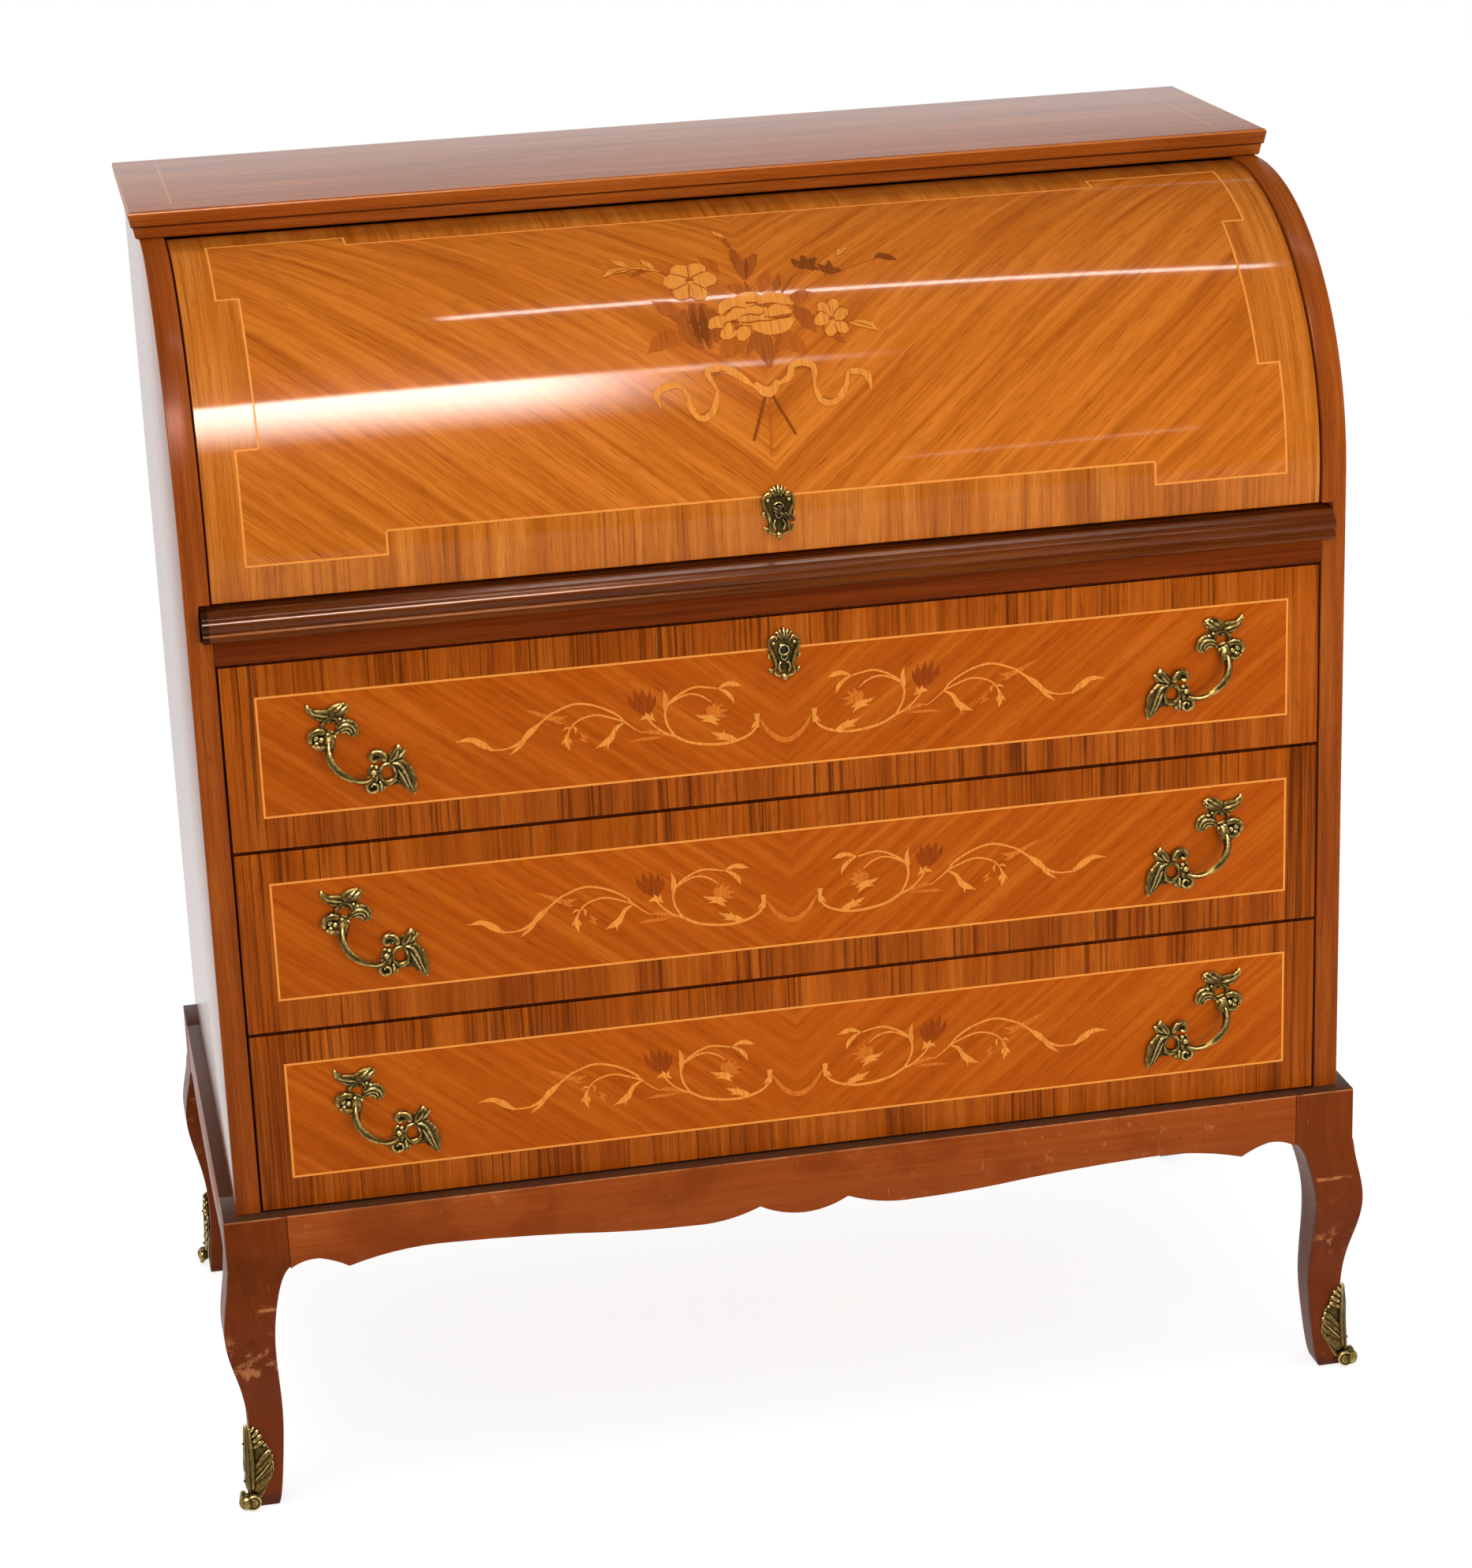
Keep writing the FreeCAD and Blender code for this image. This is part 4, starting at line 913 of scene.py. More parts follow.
for drawer in drawers:
    low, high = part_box(drawer + "_front")
    put = onDrawer((low.z + high.z) / 2)
    inlaid(drawer + "_strings", drawerStrings(drawer + "_front"), put, stringWood, drawer)
    for wood, finish in (("light", lightWood), ("brown", brownWood), ("dark", darkWood)):
        half = scaled(spray[wood])
        inlaid(f"{drawer}_spray_{wood}", half + mirrored(half), put, finish, drawer)
print("drawer sprays laid")

# the roll's bouquet: millimetres across and degrees above the axis
bouquet = {
    "light": [
        # ribbon
        ([(-9.0, 28.4), (-23.5, 31.9), (-34.4, 33.2), (-44.9, 32.7), (-39.5, 28.9)],
         (2.0, 6.0, 7.0, 4.5, 2.0)),
        ([(-38.5, 28.9), (-43.7, 24.7), (-53.3, 23.2), (-61.3, 25.4), (-63.6, 28.6), (-71.6, 30.5),
          (-86.3, 29.1), (-84.5, 25.8)], (2.0, 5.0, 6.5, 5.0, 3.0, 5.5, 5.5, 1.0)),
        ([(7.0, 28.7), (18.1, 30.2), (21.9, 32.6), (31.3, 33.1), (38.3, 31.9), (37.4, 28.4)],
         (2.0, 5.0, 5.0, 6.5, 4.5, 2.0)),
        ([(36.8, 28.4), (40.0, 25.2), (46.5, 24.2), (55.6, 25.2), (61.9, 27.5), (65.9, 30.2), (78.6, 29.5),
          (81.5, 26.0)], (2.0, 4.5, 6.5, 5.5, 3.0, 5.0, 5.5, 1.0)),
        ([(-8.8, 29.6), (-5.0, 28.0), (0.0, 27.4), (5.0, 28.0), (8.2, 29.8)], (3.0, 7.0, 8.5, 7.0, 3.0)),
        # rose
        ([(-20.0, 43.2), (-28.0, 43.8), (-34.0, 43.4), (-37.5, 42.4)], (6.0, 11.0, 10.0, 3.0)),
        ([(-18.0, 42.0), (-25.0, 40.8), (-29.5, 40.0)], (6.0, 11.0, 10.0, 4.0)),
        ([(-8.0, 42.0), (-13.0, 40.2), (-14.0, 39.0)], (6.0, 11.0, 10.0, 5.0)),
        ([(-27.5, 45.6), (-22.0, 47.6), (-14.0, 48.4), (-6.0, 47.6)], (4.0, 9.0, 9.0, 3.0)),
        ([(-16.0, 47.4), (-8.0, 49.2), (2.0, 49.2), (9.0, 47.8)], (3.0, 9.0, 10.0, 3.0)),
        ([(4.0, 47.4), (13.0, 48.8), (23.0, 48.2), (31.5, 46.6)], (3.0, 10.0, 10.0, 3.0)),
        ([(-4.0, 41.8), (9.0, 41.4), (20.0, 41.8), (30.0, 43.2)], (5.0, 12.0, 12.0, 4.0)),
        ([(-22.0, 44.4), (-10.0, 45.8), (4.0, 45.6), (14.0, 44.4)], (6.0, 12.0, 13.0, 4.0)),
        ([(10.0, 44.8), (19.0, 45.6), (29.0, 44.8)], (5.0, 11.0, 9.0, 3.0)),
        ([(-14.0, 43.4), (-2.0, 43.4), (10.0, 43.2)], (5.0, 9.0, 5.0)),
        # flower above on the left
        ([(-45.2, 54.8), (-52.0, 55.2), (-59.0, 54.8), (-65.0, 54.0)], (6.0, 15.0, 18.0, 15.0, 6.0)),
        ([(-45.2, 55.2), (-49.0, 57.0), (-52.6, 58.4), (-55.0, 59.4)], (6.0, 15.0, 18.0, 15.0, 6.0)),
        ([(-45.0, 55.4), (-40.0, 57.2), (-35.4, 58.4), (-32.0, 59.2)], (6.0, 15.0, 18.0, 15.0, 6.0)),
        ([(-44.8, 55.0), (-37.0, 55.2), (-30.0, 54.8), (-25.0, 54.0)], (6.0, 15.0, 18.0, 15.0, 6.0)),
        ([(-45.0, 54.6), (-42.0, 52.6), (-40.0, 50.8), (-39.4, 49.6)], (6.0, 14.0, 17.0, 14.0, 6.0)),
        ([(-45.2, 54.6), (-50.6, 52.8), (-55.0, 51.4), (-58.0, 50.4)], (6.0, 14.0, 17.0, 14.0, 6.0)),
        # daisy on the right
        ([(58.9, 42.4), (53.6, 42.6), (49.0, 42.0), (46.4, 41.2)], (4.0, 9.0, 11.0, 9.0, 4.0)),
        ([(58.9, 42.5), (56.0, 44.2), (53.4, 45.6), (52.0, 46.4)], (4.0, 9.0, 11.0, 9.0, 4.0)),
        ([(58.9, 42.6), (61.0, 44.6), (63.4, 46.2), (64.6, 47.0)], (4.0, 9.0, 11.0, 9.0, 4.0)),
        ([(58.9, 42.4), (64.6, 43.2), (69.6, 43.6), (72.6, 43.6)], (4.0, 9.0, 11.0, 9.0, 4.0)),
        ([(58.9, 42.2), (63.4, 40.8), (67.0, 39.8), (69.4, 39.0)], (4.0, 9.0, 11.0, 9.0, 4.0)),
        ([(58.9, 42.2), (57.4, 40.4), (56.0, 39.2), (55.2, 38.4)], (4.0, 9.0, 11.0, 9.0, 4.0)),
        ([(72.2, 41.0), (80.0, 40.8), (87.0, 40.2), (94.5, 38.8)], (1.5, 6.0, 6.0, 0.8)),
        # pale leaves
        ([(-112.0, 57.8), (-103.0, 59.4), (-95.0, 59.6), (-86.0, 60.0)], (0.8, 5.0, 5.0, 0.8)),
        ([(-103.4, 63.0), (-96.0, 61.6), (-88.0, 60.2)], (0.8, 5.5, 0.8)),
        ([(-88.5, 60.0), (-78.0, 59.4), (-66.4, 58.2)], (0.8, 1.6, 0.8)),
        ([(-79.5, 62.4), (-75.0, 60.8), (-70.0, 58.8)], (0.8, 5.0, 0.8)),
        ([(84.6, 61.0), (80.5, 60.4), (75.2, 58.9)], (0.8, 5.5, 0.8)),
        ([(-16.5, 70.8), (-13.0, 69.4), (-8.0, 67.6)], (0.8, 5.0, 0.8)),
    ],
    "russet": [
        # the broad leaves behind
        ([(-89.0, 37.8), (-78.0, 40.0), (-68.0, 41.0), (-56.0, 42.0)], (0.8, 13.0, 16.0, 4.0)),
        ([(-78.0, 50.4), (-70.0, 48.6), (-58.0, 46.2)], (1.0, 15.0, 8.0)),
        ([(-35.0, 35.4), (-24.0, 37.4), (-9.0, 40.4)], (0.8, 14.0, 15.0, 3.0)),
        ([(36.0, 35.0), (25.0, 37.8), (10.0, 40.6)], (0.8, 14.0, 15.0, 3.0)),
        ([(48.0, 49.6), (38.0, 48.6), (28.0, 46.6)], (0.8, 11.0, 11.0, 3.0)),
        ([(-34.0, 62.4), (-28.0, 60.0), (-20.0, 56.8)], (0.8, 11.0, 2.0)),
        ([(-20.0, 53.0), (-10.0, 52.0), (0.0, 49.6)], (0.8, 11.0, 3.0)),
        ([(20.0, 56.4), (14.0, 53.8), (8.0, 50.4)], (0.8, 11.0, 3.0)),
        ([(65.0, 54.4), (56.0, 52.4), (44.0, 50.6), (34.0, 48.2)], (2.2, 1.8, 1.6, 1.4)),
        ([(46.8, 56.4), (42.0, 55.0), (38.0, 54.2)], (3.0, 4.0, 1.2)),
        ([(75.4, 54.4), (90.0, 56.0), (105.0, 57.2)], (1.2, 1.2, 1.0)),
        ([(1.0, 26.2), (-0.8, 20.4), (-2.4, 14.0)], (1.4, 1.4, 1.0)),
    ],
    "brown": [
        ([(-68.5, 46.4), (-62.0, 45.4), (-55.0, 44.2)], (0.8, 6.5, 0.8)),
        ([(-1.0, 40.8), (2.0, 37.4), (4.0, 32.6)], (15.0, 17.0, 10.0, 1.0)),
        ([(-12.0, 35.4), (-8.0, 37.6), (-4.0, 40.0)], (0.8, 6.0, 2.0)),
        ([(16.8, 39.6), (10.6, 36.4), (4.4, 32.4)], (3.5, 4.5, 0.6)),
        ([(32.0, 46.4), (38.0, 43.6), (45.0, 39.6)], (2.0, 13.0, 12.0, 1.5)),
        ([(-5.4, 63.4), (-4.4, 60.4), (-2.2, 57.0), (-1.6, 54.2)], (5.0, 9.0, 9.0, 3.0)),
        ([(11.6, 61.6), (8.0, 59.8), (2.6, 57.0), (-1.4, 54.2)], (4.0, 9.0, 9.0, 3.0)),
        ([(66.5, 36.6), (62.0, 37.8), (56.0, 39.6)], (0.8, 5.5, 0.8)),
        # the dark flower's petals
        ([(-54.5, 47.6), (-57.0, 44.4), (-54.0, 40.0), (-51.5, 38.6)], (3.0, 10.0, 9.0, 3.0)),
        ([(-47.5, 48.8), (-48.0, 44.4), (-47.0, 39.4), (-46.0, 37.8)], (5.0, 11.0, 9.0, 3.0)),
        ([(-39.5, 48.6), (-39.0, 44.4), (-39.5, 39.4), (-39.0, 37.8)], (5.0, 11.0, 9.0, 3.0)),
        ([(-32.5, 47.2), (-31.0, 44.0), (-32.5, 40.6), (-34.5, 39.2)], (3.0, 8.0, 7.0, 3.0)),
        ([(-2.2, 53.6), (-0.6, 51.2), (0.4, 48.8)], (1.4, 3.0, 1.2)),
        ([(38.0, 54.4), (30.0, 51.8), (22.0, 48.8)], (1.4, 1.8, 1.4)),
        ([(26.0, 55.0), (23.0, 52.6), (18.0, 50.0)], (0.8, 6.0, 0.8)),
        ([(-6.8, 68.0), (-8.8, 66.8), (-7.0, 65.0), (-5.1, 63.7)], (0.8, 4.0, 3.4, 0.8)),
        ([(-5.1, 63.9), (-4.0, 62.6), (-2.6, 60.4)], (1.2, 1.4, 1.4)),
        ([(-66.4, 58.2), (-58.0, 56.4), (-50.0, 55.0)], (1.2, 1.4, 1.0)),
        ([(-90.0, 57.4), (-82.0, 58.8), (-74.0, 58.8)], (0.8, 4.6, 0.8)),
    ],
    "dark": [
        # carnations, tulip, dark flower and stems
        ([(46.5, 56.0), (43.0, 57.4), (39.2, 59.0)], (3.0, 7.0, 2.5)),
        ([(47.6, 56.0), (48.4, 57.8), (48.6, 59.8)], (3.0, 7.0, 2.5)),
        ([(48.6, 56.0), (53.6, 57.6), (58.4, 58.8)], (3.0, 7.0, 2.5)),
        ([(48.0, 56.6), (54.0, 56.0), (58.0, 55.4)], (2.0, 5.5, 2.0)),
        ([(64.6, 54.0), (62.0, 55.6), (58.6, 56.8)], (2.5, 6.0, 2.0)),
        ([(65.4, 54.0), (67.0, 56.0), (68.0, 57.6)], (2.5, 6.0, 2.0)),
        ([(66.0, 54.0), (70.6, 54.8), (75.4, 54.6)], (2.5, 6.0, 2.0)),
        ([(3.0, 60.4), (2.4, 58.2), (-0.6, 54.6)], (0.8, 3.0, 1.0)),
        ([(-48.0, 47.4), (-48.5, 45.0), (-47.5, 41.4), (-46.5, 39.2)], (2.0, 5.0, 5.0, 1.5)),
        ([(-41.5, 47.8), (-41.0, 45.0), (-41.5, 41.0), (-41.0, 38.4)], (2.0, 6.0, 6.0, 1.5)),
        ([(-53.5, 44.4), (-46.0, 43.8), (-36.5, 44.2)], (1.0, 3.4, 1.0)),
        ([(-52.0, 41.4), (-45.0, 40.8), (-37.0, 41.2)], (1.0, 3.0, 1.0)),
        ([(104.6, 57.4), (109.0, 58.0), (115.0, 57.4), (121.5, 56.4)], (0.8, 6.0, 6.0, 0.8)),
        ([(-1.2, 27.4), (-8.0, 22.6), (-15.2, 17.6)], (2.0, 2.0, 1.6)),
        ([(3.4, 26.6), (10.6, 22.4), (18.2, 18.2)], (2.0, 2.0, 1.6)),
    ],
    "veins": [
        ([(-22.0, 46.2), (-14.0, 47.0), (-6.0, 46.6)], (0.3, 1.1, 0.3)),
        ([(-4.0, 46.8), (4.0, 47.2), (12.0, 46.8)], (0.3, 1.1, 0.3)),
        ([(-18.0, 43.6), (-8.0, 43.0), (2.0, 43.2), (12.0, 43.0)], (0.3, 1.2, 1.2, 0.3)),
        ([(-12.0, 44.6), (-4.0, 45.0), (3.0, 44.6), (8.0, 45.4)], (0.3, 1.2, 1.2, 0.3)),
        ([(12.0, 43.8), (20.0, 43.6), (27.0, 43.8)], (0.3, 1.1, 0.3)),
        ([(-48.2, 54.6), (-45.0, 55.4), (-41.8, 54.8)], (1.0, 4.0, 1.0)),
        ([(-47.0, 55.8), (-54.0, 56.8), (-60.0, 57.4)], (0.8, 0.9, 0.3)),
        ([(-45.0, 56.0), (-44.6, 57.8), (-44.0, 60.0)], (0.8, 0.9, 0.3)),
        ([(-43.0, 55.8), (-35.6, 56.8), (-29.6, 57.2)], (0.8, 0.9, 0.3)),
        ([(-43.4, 54.2), (-37.0, 53.0), (-32.6, 51.8)], (0.8, 0.9, 0.3)),
        ([(-46.0, 54.0), (-47.6, 52.0), (-48.6, 50.0)], (0.8, 0.9, 0.3)),
        ([(-47.4, 54.2), (-55.0, 53.2), (-61.4, 52.4)], (0.8, 0.9, 0.3)),
        ([(56.8, 41.9), (59.0, 42.6), (61.2, 42.1)], (0.8, 3.6, 0.8)),
        ([(57.6, 43.2), (53.0, 44.2), (49.6, 44.4)], (0.5, 0.7, 0.3)),
        ([(59.2, 43.6), (59.0, 45.4), (58.8, 46.8)], (0.5, 0.7, 0.3)),
        ([(60.6, 43.2), (65.0, 44.6), (68.6, 45.4)], (0.5, 0.7, 0.3)),
        ([(61.0, 41.8), (66.0, 41.6), (70.6, 41.4)], (0.5, 0.7, 0.3)),
        ([(59.6, 41.2), (61.2, 40.0), (62.4, 38.8)], (0.5, 0.7, 0.3)),
        ([(57.4, 41.6), (53.6, 40.6), (50.6, 39.6)], (0.5, 0.7, 0.3)),
        ([(-27.0, 42.6), (-22.0, 43.6), (-16.0, 43.2)], (0.3, 1.1, 0.3)),
        ([(-20.0, 41.2), (-17.0, 42.0), (-13.0, 42.2)], (0.3, 1.0, 0.3)),
        ([(2.0, 47.6), (5.0, 46.8), (10.0, 46.4)], (0.3, 1.0, 0.3)),
        ([(-104.0, 58.8), (-96.0, 59.4), (-89.0, 59.8)], (0.2, 0.8, 0.2)),
        ([(76.0, 41.0), (82.0, 40.6), (90.0, 39.6)], (0.2, 0.8, 0.2)),
        ([(-30.0, 32.2), (-34.4, 32.6), (-40.0, 31.6)], (0.3, 1.0, 0.3)),
        ([(24.0, 31.6), (30.0, 32.2), (35.0, 31.4)], (0.3, 1.0, 0.3)),
        ([(-58.0, 24.8), (-53.0, 23.8), (-47.0, 24.6)], (0.3, 1.0, 0.3)),
        ([(42.0, 25.4), (48.0, 24.8), (54.0, 25.4)], (0.3, 1.0, 0.3)),
    ],
}


def rolled(strokes):
    # degrees become a length along the curve
    return [([(x / 1000, arc(degrees)) for x, degrees in points], thin(widths)) for points, widths in strokes]


def rollStrings():
    p = earedPanel
    width, half = [inlay["string"]] * 2, inlay["string"] / 2
    strokes = []
    for level, ear, edge in ((p["low"], p["earLow"], 1), (p["high"], p["earHigh"], -1)):
        inner, outer = (ear[1], ear[0]) if edge > 0 else ear
        strokes.append(([(-p["earIn"], arc(level)), (p["earIn"], arc(level))], width, 8))
        for side in (-1, 1):
            ins, out, mid = side * p["earIn"], side * p["earOut"], side * p["half"]
            strokes.append(([(ins, arc(level) - edge * half), (ins, arc(outer) - edge * half)], width, 8))
            strokes.append(([(ins, arc(outer)), (out, arc(outer))], width, 8))
            strokes.append(([(out, arc(outer) - edge * half), (out, arc(inner) + edge * half)], width, 24))
            strokes.append(([(out, arc(inner)), (mid, arc(inner))], width, 8))
    for side in (-1, 1):
        mid = side * p["half"]
        strokes.append(([(mid, arc(p["earLow"][1])), (mid, arc(p["earHigh"][0]))], width, 40))
    return strokes


def aboveRoll(lift):
    return lambda u, v, rise: onRoll(u, v, rise + lift)


inlaid("roll_strings", rollStrings(), onRoll, stringWood, "roll")
for number, (wood, finish) in enumerate(bouquetWoods.items()):
    # each wood lies a little above the one before, so that leaves pass behind flowers
    layer = aboveRoll(inlay["layer"] * number)
    inlaid("roll_bouquet_" + wood, rolled(bouquet[wood]), layer, finish, "roll")
inlaid("roll_bouquet_veins", rolled(bouquet["veins"]), aboveRoll(inlay["veins"]), bouquetWoods["brown"],
       "roll")
print("bouquet laid")


# stand

stand = {"edge": 0.0012, "legEdge": 0.0016}

softened("apron_front", "apron_polished", standWoodX, stand["edge"])
softened("rail_back", "rail_back_polished", standWoodX, stand["edge"])
for side in ("left", "right"):
    softened("rail_side_" + side, "rail_polished_" + side, standWoodY, stand["edge"])
    for end in ("front", "rear"):
        softened(f"leg_{end}_{side}", f"leg_polished_{end}_{side}", standWoodZ,
                 stand["legEdge"], flatAngle=0.0)
print("stand dressed")


# castings: every leaf, scroll and bead is a swelling limb, and one skin is drawn over them all

casting = {"voxel": 0.00042, "soft": 2, "keep": 0.45}


def limb(path, widths, heights=None, up=(0, 1, 0), count=14, around=12, cap=0.12, ribs=0, twist=0.0,
         depth=0.0):
    # a tube along a soft curve, wide across it and high towards up, closed round at both ends;
    # ribs run along it, turned by the twist
    walk = smoothPath(path, count)
    heights = heights or widths
    rows = []
    for step, spot in enumerate(walk):
        share = step / count
        way = (walk[min(step + 1, count)] - walk[max(step - 1, 0)]).normalized()
        side = way.cross(Vector(up)).normalized()
        rise = side.cross(way)
        edge = min(1.0, min(share, 1 - share) / cap) if cap else 1.0
        close = math.sqrt(max(0.0, 1 - (1 - edge) ** 2))
        half, high = alongList(widths, share) * close / 2, alongList(heights, share) * close / 2
        ring = []
        for k in range(around + 1):
            turn = 2 * math.pi * (k % around) / around
            swell = 1 + depth * math.cos(ribs * turn + twist * share) if ribs else 1
            wide, tall = half * math.cos(turn) * swell, high * math.sin(turn) * swell
            ring.append(spot + side * wide + rise * tall)
        rows.append(ring)
    return rows


def bead(centre, width, height=None):
    # a ball, or a lens when its height is less than its width
    x, y, z = centre
    spots = [(x, y, z - width / 2), (x, y, z), (x, y, z + width / 2)]
    return limb(spots, [width] * 2, [height or width] * 2, count=8, around=10, cap=0.5)


def hoop(centre, wide, tall, width, height):
    x, y, z = centre
    turns = [2 * math.pi * k / 12 for k in range(13)]
    spots = [(x + wide * math.cos(turn), y, z + tall * math.sin(turn)) for turn in turns]
    return limb(spots, [width] * 2, [height] * 2, count=28, cap=0.0)


def volute(centre, outer, inner, start, turns, widths, heights):
    x, y, z = centre
    spots = []
    for k in range(17):
        share = k / 16
        angle = math.radians(start) + 2 * math.pi * turns * share
        radius = outer * (1 - share) + inner * share
        spots.append((x + radius * math.cos(angle), y, z + radius * math.sin(angle)))
    return limb(spots, widths, heights, count=30)


def flipped(limbs):
    return [[[(-x, y, z) for x, y, z in ring] for ring in rows] for rows in limbs]


def cast(name, limbs, put, voxel=None, keep=None):
    piece = sheetsToMesh(name, [[[put(*spot) for spot in ring] for ring in rows] for rows in limbs])
    cleanMesh(piece, merge=0.000004)
    addModifier(piece, "REMESH", mode="VOXEL", voxel_size=voxel or casting["voxel"])
    addModifier(piece, "SMOOTH", factor=0.5, iterations=casting["soft"])
    addModifier(piece, "DECIMATE", ratio=keep or casting["keep"])
    smoothed(piece, 80)
    return piece


# left handle, in millimetres right of its middle, out from the drawer and up; x and pitch in metres
frontLow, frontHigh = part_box("drawer_bottom_front")
handle = {"x": 0.3344, "pitch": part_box("drawer_middle_front")[0].z - frontLow.z, "groundOut": 1.7,
          "groundThick": 3.4, "fullWidth": 1.25, "fullHeight": 1.12}


